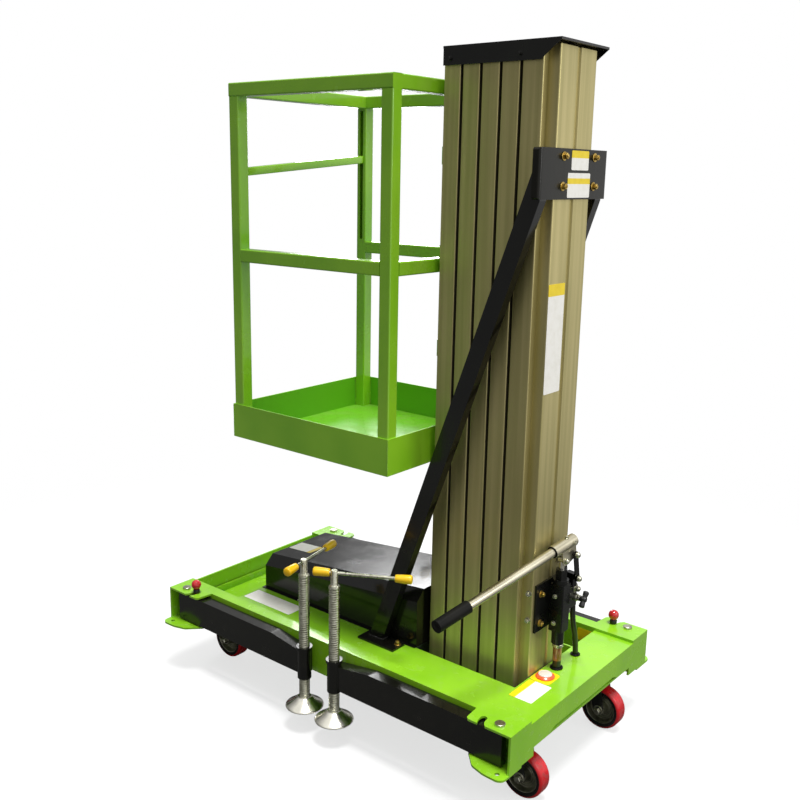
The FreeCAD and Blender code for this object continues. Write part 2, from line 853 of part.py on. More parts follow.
# Hand pump: a body on a plate at the back of the mast, with a valve block,
# a tee knob to lower the basket, and the link that carries the lever
def pump():
    half = pump_half
    ring = [(pump_x + a * half, pump_y + b * half, 4) for a, b in ((-1, -1), (1, -1), (1, 1), (-1, 1))]
    face = back_box_rear + plate
    body = prism(ring, "z", pump_block, pump_top)
    body = body.fuse(post(pump_x, pump_y, half - 3, pump_bottom, pump_block))
    body = body.fuse(post(pump_x, pump_y, half + 1, pump_top, pump_top + gland_height))
    body = body.fuse(block(back_box_rear, face, pump_y - pump_plate_left, pump_y + pump_plate_right,
                           pump_block + pump_plate_low, pump_top + pump_plate_low))
    body = body.fuse(block(face, pump_x, pump_y - half + 4, pump_y + half - 4, pump_block + 20, pump_top - 10))
    body = body.fuse(block(pump_x - valve_half, pump_x + valve_half, pump_y + half - 2, valve_outer,
                           pump_block + valve_low, pump_block + valve_high))
    lug = block(pump_x - valve_half, pump_x + valve_half, link_foot_y - link_half, link_foot_y + link_half,
                pump_block + valve_high, pump_top + lug_rise)
    foot_level = pump_top + link_foot_rise
    lug = lug.cut(bar(V(pump_x - valve_half, link_foot_y, foot_level),
                      V(pump_x + valve_half, link_foot_y, foot_level), fulcrum_pin))
    lug.rotate(V(pump_x, pump_y, 0), V(0, 0, 1), -lever_swing)
    body = body.fuse(lug)
    tee = V(pump_x + valve_half + knob_reach, knob_y, knob_level)
    turn = math.radians(knob_tilt)
    arm = V(0, math.sin(turn), math.cos(turn)) * knob_half
    knob = bar(V(pump_x, knob_y, knob_level), tee, bar_radius).fuse(bar(tee - arm, tee + arm, knob_radius))
    well = post(pump_x, pump_y, plunger_radius + running_gap, pump_top - plunger_depth - gland_height,
                pump_top + gland_height)
    save("pump_body", body.fuse(knob).cut(well).removeSplitter())
    nut_top = pump_top + gland_height + gland_nut
    nut = []
    for degrees in range(0, 360, 60):
        turn = math.radians(degrees)
        nut.append((pump_x + gland_radius * math.cos(turn), pump_y + gland_radius * math.sin(turn)))
    gland = prism(nut, "z", pump_top + gland_height, nut_top)
    gland = gland.cut(post(pump_x, pump_y, plunger_radius + running_gap, pump_top, nut_top))
    save("pump_gland", gland)
    plunger = post(pump_x, pump_y, plunger_radius, pump_top - plunger_depth, plunger_top)
    eye = plunger_top - plunger_radius
    plunger = plunger.fuse(bar(V(pump_x - 9, pump_y, eye), V(pump_x + 9, pump_y, eye), plunger_radius + 1))
    save("pump_plunger", plunger.removeSplitter())
    save("pump_link", *link_solids())


# Link plates and pins from the pump's lug up to the lever's fulcrum
def link_solids():
    tilt = math.radians(lever_angle)
    foot = V(0, link_foot_y, pump_top + link_foot_rise)
    head = V(0, pump_y + fulcrum_offset * math.cos(tilt) - fulcrum_drop * math.sin(tilt),
             lever_level - fulcrum_offset * math.sin(tilt) - fulcrum_drop * math.cos(tilt))
    along = head - foot
    along.normalize()
    across = V(0, along.z, -along.y) * link_half
    ring = []
    for middle, a, b in ((foot, -1, -1), (foot, -1, 1), (head, 1, 1), (head, 1, -1)):
        corner = middle + along * (a * link_half) + across * b
        ring.append((corner.y, corner.z, link_half - 0.1))
    inner = socket_radius + link_play
    outer = inner + link_sheet
    shape = None
    for side in (-1, 1):
        low, high = sorted((pump_x + side * inner, pump_x + side * outer))
        cheek = prism(ring, "x", low, high)
        shape = cheek if shape is None else shape.fuse(cheek)
    for middle in (foot, head):
        shape = shape.fuse(bar(V(pump_x - outer - 3, middle.y, middle.z), V(pump_x + outer + 3, middle.y, middle.z),
                               fulcrum_pin))
    shape.rotate(V(pump_x, pump_y, 0), V(0, 0, 1), -lever_swing)
    return [shape.removeSplitter()]


# Pump lever: a socket on the fulcrum pin with two cheeks, a long tube and a grip
def pump_lever():
    middle = V(pump_x, pump_y, lever_level)
    back = pump_y + fulcrum_offset + socket_end
    lever = bar(V(pump_x, back, lever_level), V(pump_x, back - socket_length, lever_level), socket_radius)
    tube_end = pump_y - lever_reach + lever_grip
    lever = lever.fuse(bar(V(pump_x, back - socket_end, lever_level), V(pump_x, tube_end, lever_level),
                           lever_tube_radius))
    low = lever_level - cheek_drop
    cheek = (
        (pump_y - cheek_left, lever_level, 0),
        (pump_y - cheek_left, low, cheek_corner),
        (pump_y, low, cheek_corner),
        (pump_y + cheek_right, lever_level - fulcrum_drop - cheek_corner, cheek_corner),
        (pump_y + cheek_right, lever_level, 0),
    )
    for side in (-1, 1):
        low, high = sorted((pump_x + side * cheek_inner, pump_x + side * cheek_outer))
        lever = lever.fuse(prism(cheek, "x", low, high))
    fulcrum = pump_y + fulcrum_offset
    level = lever_level - fulcrum_drop
    lever = lever.cut(bar(V(pump_x - socket_radius, fulcrum, level), V(pump_x + socket_radius, fulcrum, level),
                          fulcrum_pin + running_gap))
    grip = bar(V(pump_x, tube_end, lever_level), V(pump_x, tube_end - lever_grip, lever_level), socket_radius)
    for name, shape in (("pump_lever", lever.removeSplitter()), ("pump_grip", grip)):
        shape.rotate(middle, V(1, 0, 0), -lever_angle)
        shape.rotate(middle, V(0, 0, 1), -lever_swing)
        save(name, shape)


# Emergency stop button on the rear deck
def stop_button():
    x, y, radius = deck_holes["stop_button"]
    ring = radius + 15
    cap = radius + 9
    shape = turned(((0, deck_top), (ring, deck_top), (ring, deck_top + 3), (cap, deck_top + 7),
                    (cap, deck_top + 12), (0, deck_top + 12)), V(x, y, 0), V(0, 0, 1))
    save("stop_button", shape)


# Hoses: the pressure hose bends from the valve block down through the deck, the
# return hose drops straight from the pump
def hoses():
    x, y, radius = deck_holes["pressure_hose"]
    end = deck_top - deck_sheet
    drop = hose_start - deck_top
    shift = y - hose_start_y
    turn = 2 * math.atan(shift / drop)
    bend = drop / (2 * math.sin(turn))
    half = turn / 2
    knee = (V(x, hose_start_y + bend * (1 - math.cos(half)), hose_start - bend * math.sin(half)),
            V(x, hose_start_y + shift / 2, hose_start - drop / 2),
            V(x, y - bend * (1 - math.cos(half)), deck_top + bend * math.sin(half)))
    start = V(x, hose_start_y, hose_start)
    entry = V(x, y, deck_top)
    path = Part.Wire([Part.Arc(start, knee[0], knee[1]).toShape(), Part.Arc(knee[1], knee[2], entry).toShape(),
                      Part.makeLine(entry, V(x, y, end))])
    ring = Part.Wire([Part.makeCircle(hose_radius, start, V(0, 0, 1))])
    pressure = path.makePipeShell([ring], True, False)
    x, y, radius = deck_holes["return_hose"]
    back = post(x, y, return_hose_radius, end, pump_bottom)
    save("pump_hoses", pressure, back)


# Basket: a tray with toe boards, corner posts and rails
def basket():
    x0, x1, half = basket_front, basket_rear, basket_half_width
    floor = floor_level + floor_sheet
    tray = block(x0, x1, -half, half, floor_level, toe_top)
    tray = tray.cut(block(x0 + toe_sheet, x1 - toe_sheet, -half + toe_sheet, half - toe_sheet, floor, toe_top))
    save("basket_tray", tray)
    inset = tube / 2
    left = x0 + inset + toe_sheet
    right = x1 - inset - toe_sheet
    side = half - inset - toe_sheet
    slot = entry_slot / 2
    inner = inset - tube_wall
    posts = []
    for x in (left, right):
        for y in (-side, side):
            post_tube = square_tube("z", x, y, floor, rail_top - tube)
            if x == left:
                post_tube = post_tube.cut(block(x - inner, x + inner, y - inner, y + inner, floor, rail_top))
                low, high = sorted((0, y))
                post_tube = post_tube.cut(block(x - slot, x + slot, low, high, entry_slot_low, entry_slot_high))
            posts.append(post_tube)
    save("basket_posts", *posts)
    top = rail_top - inset
    frame = square_tube("x", -side, top, left - inset, right + inset)
    frame = frame.fuse(square_tube("x", side, top, left - inset, right + inset))
    frame = frame.fuse(square_tube("y", left, top, -side, side))
    frame = frame.fuse(square_tube("y", right, top, -side, side))
    save("basket_top_rail", frame.removeSplitter())
    level = mid_rail_top - inset
    save("basket_mid_rails",
         square_tube("x", -side, level, left + inset, right - inset),
         square_tube("x", side, level, left + inset, right - inset),
         square_tube("y", right, level, -side + inset, side - inset))
    gap = side - inset - 2
    key = side + inset - tube_wall - 2
    entry = bar(V(left, -gap, entry_level), V(left, gap, entry_level + entry_lean), entry_radius)
    entry = entry.fuse(block(left - slot + 1, left + slot - 1, -key, -gap + 10, entry_level - 10, entry_level + 10))
    raised = entry_level + entry_lean
    entry = entry.fuse(block(left - slot + 1, left + slot - 1, gap - 10, key, raised - 10, raised + 10))
    save("entry_bar", entry.removeSplitter())


# Basket mount: two uprights between the basket and the last mast section, with lugs
def basket_mount():
    wide = mount_width / 2
    solids = []
    for y in (-mount_half, mount_half):
        rib = block(basket_rear, mast_front, y - wide, y + wide, floor_level, rail_top)
        level = floor_level + mount_lug
        while level + mount_lug < rail_top:
            side = 1 if y > 0 else -1
            low, high = sorted((y + side * wide, y + side * (wide + plate)))
            rib = rib.fuse(block(basket_rear, mast_front, low, high, level, level + mount_lug))
            level += mount_bolt_pitch
        solids.append(rib.removeSplitter())
    save("basket_mount", *solids)


os.makedirs("parts", exist_ok=True)
rails()
end_plates()
corner_plates()
deck()
floor_pan()
cross_plates()
castors()
arms()
jacks()
mast()
mast_cap()
mast_bracket()
braces()
power_cover()
pump()
pump_lever()
stop_button()
hoses()
basket()
basket_mount()
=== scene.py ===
import math
import random

import bmesh
import bpy
from mathutils import Matrix, Vector


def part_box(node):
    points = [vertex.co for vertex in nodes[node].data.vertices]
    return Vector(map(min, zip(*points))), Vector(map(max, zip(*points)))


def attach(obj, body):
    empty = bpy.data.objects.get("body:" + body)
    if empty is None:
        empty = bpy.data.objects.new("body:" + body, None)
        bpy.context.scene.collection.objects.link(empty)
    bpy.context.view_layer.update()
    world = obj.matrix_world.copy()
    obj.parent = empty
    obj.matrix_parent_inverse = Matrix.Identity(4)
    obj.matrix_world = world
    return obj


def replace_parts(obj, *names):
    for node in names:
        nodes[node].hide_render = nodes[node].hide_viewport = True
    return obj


# Vertical mast lift: a push-around work platform with a telescoping aluminium mast.
# Metres, +Z up, floor at Z = 0. The basket end is -X, the mast end is +X.
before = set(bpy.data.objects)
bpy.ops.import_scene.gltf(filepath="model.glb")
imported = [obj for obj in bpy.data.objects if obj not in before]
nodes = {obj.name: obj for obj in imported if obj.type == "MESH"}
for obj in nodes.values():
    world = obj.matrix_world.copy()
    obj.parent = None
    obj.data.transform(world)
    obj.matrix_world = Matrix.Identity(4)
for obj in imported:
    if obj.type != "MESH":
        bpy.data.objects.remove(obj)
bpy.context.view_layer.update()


# Camera: stands off the rear left corner, a little above the middle of the mast,
# and looks slightly down with a normal lens.
eye = Vector((1.77641, -2.20592, 1.61267))
heading, dip, lean = (math.radians(angle) for angle in (50.956, 13.198, 1.0359))
forward = Vector((-math.cos(heading) * math.cos(dip), math.sin(heading) * math.cos(dip), -math.sin(dip)))
level = forward.cross(Vector((0, 0, 1))).normalized()
raised = level.cross(forward)
right = level * math.cos(lean) + raised * math.sin(lean)
upward = raised * math.cos(lean) - level * math.sin(lean)
lens = bpy.data.cameras.new("camera")
lens.sensor_width = 36
lens.lens = 43.18
lens.clip_end = 60
camera = bpy.data.objects.new("camera", lens)
camera.matrix_world = Matrix.Translation(eye) @ Matrix((right, upward, -forward)).transposed().to_4x4()
scene = bpy.context.scene
scene.collection.objects.link(camera)
scene.camera = camera
scene.view_settings.view_transform = "Standard"


# Studio floor: a pale plain floor that keeps the machine's shadow and fades into
# the white surround some way from the wheels.
def linear(code):
    """A colour written as six hex digits, as linear red, green, blue and alpha."""
    parts = [int(code[i:i + 2], 16) / 255 for i in (0, 2, 4)]
    return tuple(c / 12.92 if c <= 0.04045 else ((c + 0.055) / 1.055) ** 2.4 for c in parts) + (1.0,)


class Shade:
    """A socket of a finish; arithmetic on it adds Math nodes."""

    def __init__(self, finish, socket):
        self.finish = finish
        self.socket = socket

    def maths(self, operation, *values):
        return self.finish.node("ShaderNodeMath", {"operation": operation}, dict(enumerate(values)))

    def __add__(self, other):
        return self.maths("ADD", self, other)

    def __radd__(self, other):
        return self.maths("ADD", other, self)

    def __sub__(self, other):
        return self.maths("SUBTRACT", self, other)

    def __rsub__(self, other):
        return self.maths("SUBTRACT", other, self)

    def __mul__(self, other):
        return self.maths("MULTIPLY", self, other)

    def __rmul__(self, other):
        return self.maths("MULTIPLY", other, self)

    def __pow__(self, other):
        return self.maths("POWER", self, other)

    def __abs__(self):
        return self.maths("ABSOLUTE", self)

    def wave(self):
        return self.maths("SINE", self)

    def bounce(self):
        """Goes up to 1 and down to 0 again and again as the socket grows."""
        return self.maths("PINGPONG", self, 1.0)

    def ramp(self, low, high, start=0.0, end=1.0):
        """Runs smoothly from start to end while the socket goes from low to high."""
        return self.finish.node("ShaderNodeMapRange", {"interpolation_type": "SMOOTHSTEP"},
                                {0: self, 1: low, 2: high, 3: start, 4: end})


class Finish:
    """A material under construction, around its Principled shader."""

    def __init__(self, name):
        self.material = bpy.data.materials.new(name)
        self.material.use_nodes = True
        self.tree = self.material.node_tree
        self.shader = self.tree.nodes["Principled BSDF"]
        self.place = self.node("ShaderNodeTexCoord", out="Object")
        axes = self.node("ShaderNodeSeparateXYZ", sockets={0: self.place})
        self.x, self.y, self.z = (Shade(self, axes.socket.node.outputs[i]) for i in range(3))

    def node(self, kind, settings=None, sockets=None, out=0):
        made_node = self.tree.nodes.new(kind)
        for name, value in (settings or {}).items():
            setattr(made_node, name, value)
        for name, value in (sockets or {}).items():
            self.feed(made_node.inputs[name], value)
        return Shade(self, made_node.outputs[out])

    def feed(self, socket, value):
        if isinstance(value, Shade):
            self.tree.links.new(value.socket, socket)
        else:
            socket.default_value = value

    def set(self, **sockets):
        """Feeds the Principled shader: Base_Color is its Base Color socket."""
        for name, value in sockets.items():
            self.feed(self.shader.inputs[name.replace("_", " ")], value)

    def noise(self, scale, detail=2.0, stretch=(1, 1, 1)):
        """Grain at about 1/scale metres, drawn out along the axes with a small stretch."""
        where = self.node("ShaderNodeMapping", sockets={0: self.place, 3: stretch})
        return self.node("ShaderNodeTexNoise", sockets={"Vector": where, "Scale": scale, "Detail": detail})

    def blend(self, factor, first, second):
        """The first colour where the factor is 0, the second where it is 1."""
        return self.node("ShaderNodeMix", {"data_type": "RGBA"}, {0: factor, 6: first, 7: second}, out=2)

    def bump(self, height, distance, strength=1.0):
        self.set(Normal=self.node("ShaderNodeBump",
                                  sockets={"Height": height, "Distance": distance, "Strength": strength}))

    def ring(self, centre, axes):
        """Distance from a centre, measured along the two named axes."""
        first, second = (getattr(self, axis) - middle for axis, middle in zip(axes, centre))
        return (first * first + second * second) ** 0.5

    def band(self, value, low, high, soft=0.0005):
        """1 between two values, 0 outside."""
        return value.ramp(low - soft, low + soft) * value.ramp(high - soft, high + soft, 1.0, 0.0)


floor_finish = Finish("studio floor")
rays = floor_finish.node("ShaderNodeLightPath").socket.node.outputs
seen = Shade(floor_finish, rays["Is Camera Ray"])
mottle = floor_finish.noise(3.0).ramp(0.3, 0.7)
pale = floor_finish.blend(mottle, (0.93, 0.93, 0.93, 1), (0.95, 0.95, 0.95, 1))
floor_finish.set(Base_Color=floor_finish.blend(seen, (0.09, 0.09, 0.085, 1), pale), Roughness=0.8)
thin = seen * floor_finish.ring((0, 0), ("x", "y")).ramp(1.2, 2.5, 0.70, 1.0)
clear = floor_finish.node("ShaderNodeBsdfTransparent")
cover = Shade(floor_finish, floor_finish.shader.outputs[0])
mixed = floor_finish.node("ShaderNodeMixShader", sockets={0: thin, 1: cover, 2: clear})
floor_finish.tree.links.new(mixed.socket, floor_finish.tree.nodes["Material Output"].inputs[0])
disc = bmesh.new()
bmesh.ops.create_circle(disc, cap_ends=True, segments=96, radius=2.6)
disc_mesh = bpy.data.meshes.new("studio_floor")
disc.to_mesh(disc_mesh)
disc.free()
disc_mesh.materials.append(floor_finish.material)
studio_floor = bpy.data.objects.new("studio_floor", disc_mesh)
scene.collection.objects.link(studio_floor)


# Studio light: a white surround for the camera, a soft sky that is strongest overhead, a
# darker surround low down for the gloss paint, an even light from above and two lamps.
world = bpy.data.worlds.new("studio")
scene.world = world
world.use_nodes = True
tree = world.node_tree
tree.nodes.clear()
path = tree.nodes.new("ShaderNodeLightPath").outputs
direction = tree.nodes.new("ShaderNodeTexCoord").outputs["Generated"]


def sky_strength(towards, low, high, dark, light):
    """Runs from dark to light as the sky's direction turns towards a point."""
    along = tree.nodes.new("ShaderNodeVectorMath")
    along.operation = "DOT_PRODUCT"
    along.inputs[1].default_value = Vector(towards).normalized()
    tree.links.new(direction, along.inputs[0])
    run = tree.nodes.new("ShaderNodeMapRange")
    for index, value in ((1, low), (2, high), (3, dark), (4, light)):
        run.inputs[index].default_value = value
    tree.links.new(along.outputs["Value"], run.inputs[0])
    return run.outputs[0]


def either(factor, first, second):
    """The first strength where the factor is 0, the second where it is 1."""
    choice = tree.nodes.new("ShaderNodeMix")
    tree.links.new(factor, choice.inputs[0])
    tree.links.new(first, choice.inputs[2])
    if isinstance(second, float):
        choice.inputs[3].default_value = second
    else:
        tree.links.new(second, choice.inputs[3])
    return choice.outputs[0]


soft_sky = sky_strength((0.45, 0.35, 0.82), -0.50, 0.90, 0.02, 0.85)
surround = sky_strength((0.55, 0.15, 0.80), -0.10, 0.40, 0.24, 0.85)
strength = either(path["Is Glossy Ray"], soft_sky, surround)
strength = either(path["Is Transmission Ray"], strength, surround)
strength = either(path["Is Camera Ray"], strength, 1.0)
background = tree.nodes.new("ShaderNodeBackground")
background.inputs["Color"].default_value = (1, 1, 1, 1)
tree.links.new(strength, background.inputs["Strength"])
tree.links.new(background.outputs[0], tree.nodes.new("ShaderNodeOutputWorld").inputs[0])

lamps = (
    # name, place, size, power
    ("mast_end_lamp", (3.2, 0.5, 2.2), 1.5, 22),
    ("far_side_lamp", (-2.3, 2.6, 2.1), 1.2, 30),
)
aim = Vector((0, 0, 0.8))
for name, place, size, power in lamps:
    light = bpy.data.lights.new(name, "AREA")
    light.shape = "DISK"
    light.size = size
    light.energy = power
    lamp = bpy.data.objects.new(name, light)
    lamp.location = place
    lamp.rotation_euler = (aim - Vector(place)).to_track_quat("-Z", "Y").to_euler()
    scene.collection.objects.link(lamp)
overhead = bpy.data.lights.new("overhead_light", "SUN")
overhead.energy = 3.0
overhead.angle = math.radians(15)
lamp = bpy.data.objects.new("overhead_light", overhead)
lamp.rotation_euler = Vector((-0.5, 0.2, -3.4)).to_track_quat("-Z", "Y").to_euler()
scene.collection.objects.link(lamp)


# Base frame: folded and welded steel plate, sprayed lime green and stoved, with the fine
# peel of a sprayed coat and a little dust low down; a strip closes each end's arch inside.
def dress(finish, *names):
    for name in names:
        nodes[name].data.materials.clear()
        nodes[name].data.materials.append(finish.material)


def sprayed(name, dark, light, roughness, coat, dust_code, specular=0.5):
    """Gloss paint: slow shade changes, orange peel, smears and settled dust."""
    paint = Finish(name)
    drift = paint.noise(3.5, 3.0).ramp(0.3, 0.7)
    smear = paint.noise(14.0, 5.0).ramp(0.42, 0.72)
    dust = paint.noise(38.0, 6.0).ramp(0.5, 0.8) * paint.z.ramp(0.10, 0.45, 0.30, 0.05)
    tone = paint.blend(drift, linear(dark), linear(light))
    paint.set(Base_Color=paint.blend(dust, tone, linear(dust_code)),
              Roughness=roughness + smear * 0.10 + dust * 0.4, Coat_Weight=coat, Coat_Roughness=0.05,
              Specular_IOR_Level=specular)
    paint.bump(paint.noise(420.0, 2.0) + paint.noise(60.0, 1.0) * 1.5, 0.00012, 0.6)
    return paint


lime_dark, lime_light, lime_dust = "80C01C", "94D02A", "9FB07A"
green_paint = sprayed("lime green gloss paint", lime_dark, lime_light, 0.20, 0.5, lime_dust)
dress(green_paint, "side_rails", "end_front", "end_rear", "corner_ears", "corner_lobes", "deck", "floor_pan",
      "cross_plates")


def made(name, shape, finish, body, sharp=35):
    """Makes a piece of a mesh under construction, and lets it ride on a body."""
    bmesh.ops.recalc_face_normals(shape, faces=shape.faces)
    mesh = bpy.data.meshes.new(name)
    shape.to_mesh(mesh)
    shape.free()
    mesh.shade_smooth()
    mesh.set_sharp_from_angle(angle=math.radians(sharp))
    mesh.materials.append(finish.material)
    piece = bpy.data.objects.new(name, mesh)
    scene.collection.objects.link(piece)
    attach(piece, body)
    return piece


def copies(pattern, places):
    """A copy of the pattern at each place, as one mesh under construction."""
    pattern_mesh = bpy.data.meshes.new("pattern")
    pattern.to_mesh(pattern_mesh)
    pattern.free()
    whole = bmesh.new()
    for place in places:
        before = len(whole.verts)
        whole.from_mesh(pattern_mesh)
        whole.verts.ensure_lookup_table()
        bmesh.ops.transform(whole, matrix=place, verts=whole.verts[before:])
    bpy.data.meshes.remove(pattern_mesh)
    return whole


def weld_bead(name, runs, width, finish, body):
    """Welded seam: overlapping ripples along each straight run, each a little different."""
    chance = random.Random(name)
    ripple = bmesh.new()
    bmesh.ops.create_icosphere(ripple, subdivisions=1, radius=width / 2)
    places = []
    for start, end in runs:
        start, end = Vector(start), Vector(end)
        along = end - start
        count = max(2, round(along.length / (width * 0.55)))
        turn = Vector((1, 0, 0)).rotation_difference(along).to_matrix().to_4x4()
        for step in range(count + 1):
            wander = Vector([chance.uniform(-0.05, 0.05) * width for axis in range(3)])
            grow = Matrix.Diagonal((0.8, 1.0, chance.uniform(0.85, 1.05), 1.0))
            places.append(Matrix.Translation(start + along * (step / count) + wander) @ turn @ grow)
    return made(name, copies(ripple, places), finish, body, 80)


base_end, rail_side, flap_side = 0.664, 0.327, 0.384
signs = [(end, side) for end in (-1, 1) for side in (-1, 1)]
seams = []
for end, side in signs:
    x, y = end * base_end, side * rail_side
    seams.append(((x, y + side * 0.001, 0.166), (x, y + side * 0.001, 0.260)))
    seams.append(((x, y + side * 0.003, 0.162), (x, side * flap_side, 0.162)))
    seams.append(((x - end * 0.13, y + side * 0.001, 0.1605), (x - end * 0.03, y + side * 0.001, 0.1605)))
weld_bead("base_seams", seams, 0.0045, green_paint, "chassis")
strips = bmesh.new()
strip_x, strip_z, strip_sizes = 0.6562, 0.1964, (0.0030, 0.5720, 0.0240, 1)
for end in (-1, 1):
    bmesh.ops.create_cube(strips, size=1,
                          matrix=Matrix.Translation((end * strip_x, 0, strip_z)) @ Matrix.Diagonal(strip_sizes))
bmesh.ops.bevel(strips, geom=strips.edges[:], offset=0.0006, segments=2, profile=0.5, affect="EDGES", material=-1)
made("closing_strips", strips, green_paint, "chassis")


def stuck(name, corners, thickness, finish, body, rounding=0.004):
    """A printed vinyl sticker or thin plate on a flat face: its corners go round anticlockwise."""
    shape = bmesh.new()
    face = shape.faces.new([shape.verts.new(corner) for corner in corners])
    face.normal_update()
    away = face.normal.copy()
    bmesh.ops.bevel(shape, geom=shape.verts[:], offset=rounding, segments=4, profile=0.5, affect="VERTICES",
                    material=-1)
    grown = bmesh.ops.extrude_face_region(shape, geom=shape.faces[:])["geom"]
    bmesh.ops.translate(shape, vec=away * thickness, verts=[v for v in grown if isinstance(v, bmesh.types.BMVert)])
    return made(name, shape, finish, body, 30)


def vinyl(name, axis, low, high, ground="F7F5EE", header="F5D80F"):
    """White vinyl with a printed band between two places along an axis, faintly yellowed and scuffed."""
    sign = Finish(name)
    age = sign.noise(55.0, 4.0).ramp(0.35, 0.75)
    paper = sign.blend(age * 0.4, linear(ground), linear("E4E1D4"))
    ink = sign.blend(age * 0.6, linear(header), linear("E4C818"))
    printed = sign.band(getattr(sign, axis), low, high)
    sign.set(Base_Color=sign.blend(printed, paper, ink), Roughness=0.32 + age * 0.15)
    sign.bump(sign.noise(300.0, 2.0), 0.00008, 0.5)
    return sign


def lying(front, rear, left, right, height):
    """Corners of a sticker that lies level."""
    return (front, left, height), (rear, left, height), (rear, right, height), (front, right, height)


def upright_at(x, left, right, low, high):
    """Corners of a sticker that stands on a face towards the mast end."""
    return (x, left, low), (x, right, low), (x, right, high), (x, left, high)


deck_face, rail_face, vinyl_thick, button_plate_thick = 0.2592, 0.2868, 0.0004, 0.0003
stuck("deck_sticker", lying(0.546, 0.617, -0.204, -0.097, deck_face), vinyl_thick,
      vinyl("deck sticker print", "x", 0.540, 0.5655), "chassis")
stuck("rail_sticker", lying(-0.448, -0.240, -0.257, -0.192, deck_face), vinyl_thick,
      vinyl("rail sticker print", "x", 0.9, 1.0), "chassis")
yellow_vinyl = vinyl("yellow sticker print", "x", 0.4, 0.7)
stuck("button_plate", lying(0.5415, 0.604, -0.094, -0.024, deck_face), button_plate_thick, yellow_vinyl, "chassis",
      0.012)
stuck("far_rail_sticker", ((0.484, rail_face, 0.212), (0.558, rail_face, 0.212), (0.558, rail_face, 0.252),
                           (0.484, rail_face, 0.252)), vinyl_thick, yellow_vinyl, "chassis")


# Corner pins: zinc plated clevis pins through ear, arm and lobe, each with a chamfered
# head, a washer below the lobe and a split pin.
def metal(name, dark, light, roughness, scale, depth, stretch=(1, 1, 1)):
    """Bare or plated metal: cloudy plating, smears and fine scratches."""
    plate = Finish(name)
    cloud = plate.noise(scale, 4.0, stretch).ramp(0.3, 0.7)
    smear = plate.noise(scale * 0.3, 3.0).ramp(0.35, 0.7)
    plate.set(Base_Color=plate.blend(cloud, linear(dark), linear(light)), Metallic=1.0,
              Roughness=roughness + cloud * 0.06 + smear * 0.10)
    plate.bump(plate.noise(scale * 9, 2.0, stretch), depth, 0.5)
    return plate


def turned(profile, steps=40):
    """Turned solid about Z: a half section of (radius, height) points, spun round."""
    shape = bmesh.new()
    line = [shape.verts.new((radius, 0, height)) for radius, height in profile]
    edges = [shape.edges.new(pair) for pair in zip(line, line[1:])]
    bmesh.ops.spin(shape, geom=line + edges, cent=(0, 0, 0), axis=(0, 0, 1), dvec=(0, 0, 0),
                   angle=math.tau, steps=steps, use_merge=True)
    bmesh.ops.remove_doubles(shape, verts=shape.verts, dist=1e-6)
    bmesh.ops.recalc_face_normals(shape, faces=shape.faces)
    return shape


def stood(place, along=(0, 0, 1), roll=0.0):
    """Where a piece made upright at the origin goes: its foot at a place, its axis along a direction."""
    turn = Vector((0, 0, 1)).rotation_difference(Vector(along)).to_matrix().to_4x4()
    return Matrix.Translation(place) @ turn @ Matrix.Rotation(roll, 4, "Z")


zinc = metal("zinc plated steel", "A9A894", "CFCEBC", 0.22, 90.0, 0.00003)
dress(zinc, "pivot_pins")
pivot_x, pivot_y, ear_top, lobe_under = 0.618, 0.354, 0.268, 0.155
pins = [(end * pivot_x, side * pivot_y, side) for end, side in signs]
face = turned(((0, 0.0046), (0.0118, 0.0046), (0.0136, 0.0058), (0.0128, 0.0064), (0, 0.0064)))
made("pin_head_faces", copies(face, [stood((x, y, ear_top)) for x, y, side in pins]), zinc, "chassis")
washer = turned(((0.0102, 0), (0.0165, 0), (0.0172, 0.0006), (0.0172, 0.0018), (0.0165, 0.0024), (0.0102, 0.0024),
                 (0.0102, 0)))
made("pin_washers", copies(washer, [stood((x, y, lobe_under - 0.0026)) for x, y, side in pins]), zinc, "chassis")
split = turned(((0, -0.016), (0.0011, -0.0155), (0.0014, 0), (0.0011, 0.0155), (0, 0.016)), 10)
split_places = [stood((x, y, lobe_under - 0.0105), (0.9, 0.3 * side, 0.25)) for x, y, side in pins]
made("split_pins", copies(split, split_places), zinc, "chassis")


# Outrigger arms: black gloss box sections with the jack sleeves welded on; two lock pins
# carry a moulded red ball on a dark collar.
black_paint = sprayed("black gloss paint", "0B0B08", "14140F", 0.17, 0.22, "35342C", 0.35)
corner_names = (("front_left", -1, -1), ("rear_left", 1, -1), ("front_right", -1, 1), ("rear_right", 1, 1))
sleeve_x, sleeve_y = 0.060, 0.368
seam_offset, seam_low, seam_high = 0.0190, 0.174, 0.236
for name, end, side in corner_names:
    dress(black_paint, "arm_" + name)
    x = end * (sleeve_x + seam_offset)
    runs = [((x, side * (sleeve_y + across), seam_low), (x, side * (sleeve_y + across), seam_high))
            for across in (0.0045, -0.0335)]
    weld_bead("arm_seams_" + name, runs, 0.0045, black_paint, "outrigger_" + name)


def moulded(name, dark, light, roughness, coat=0.0):
    """Injection moulded plastic: even colour, a fine mould grain and a few scuffs."""
    plastic = Finish(name)
    scuff = plastic.noise(60.0, 5.0).ramp(0.55, 0.8)
    tone = plastic.noise(18.0, 2.0).ramp(0.3, 0.7)
    plastic.set(Base_Color=plastic.blend(tone, linear(dark), linear(light)),
                Roughness=roughness + scuff * 0.2, Coat_Weight=coat, Coat_Roughness=0.08)
    plastic.bump(plastic.noise(700.0, 1.0) + scuff * 0.6, 0.00005, 0.5)
    return plastic


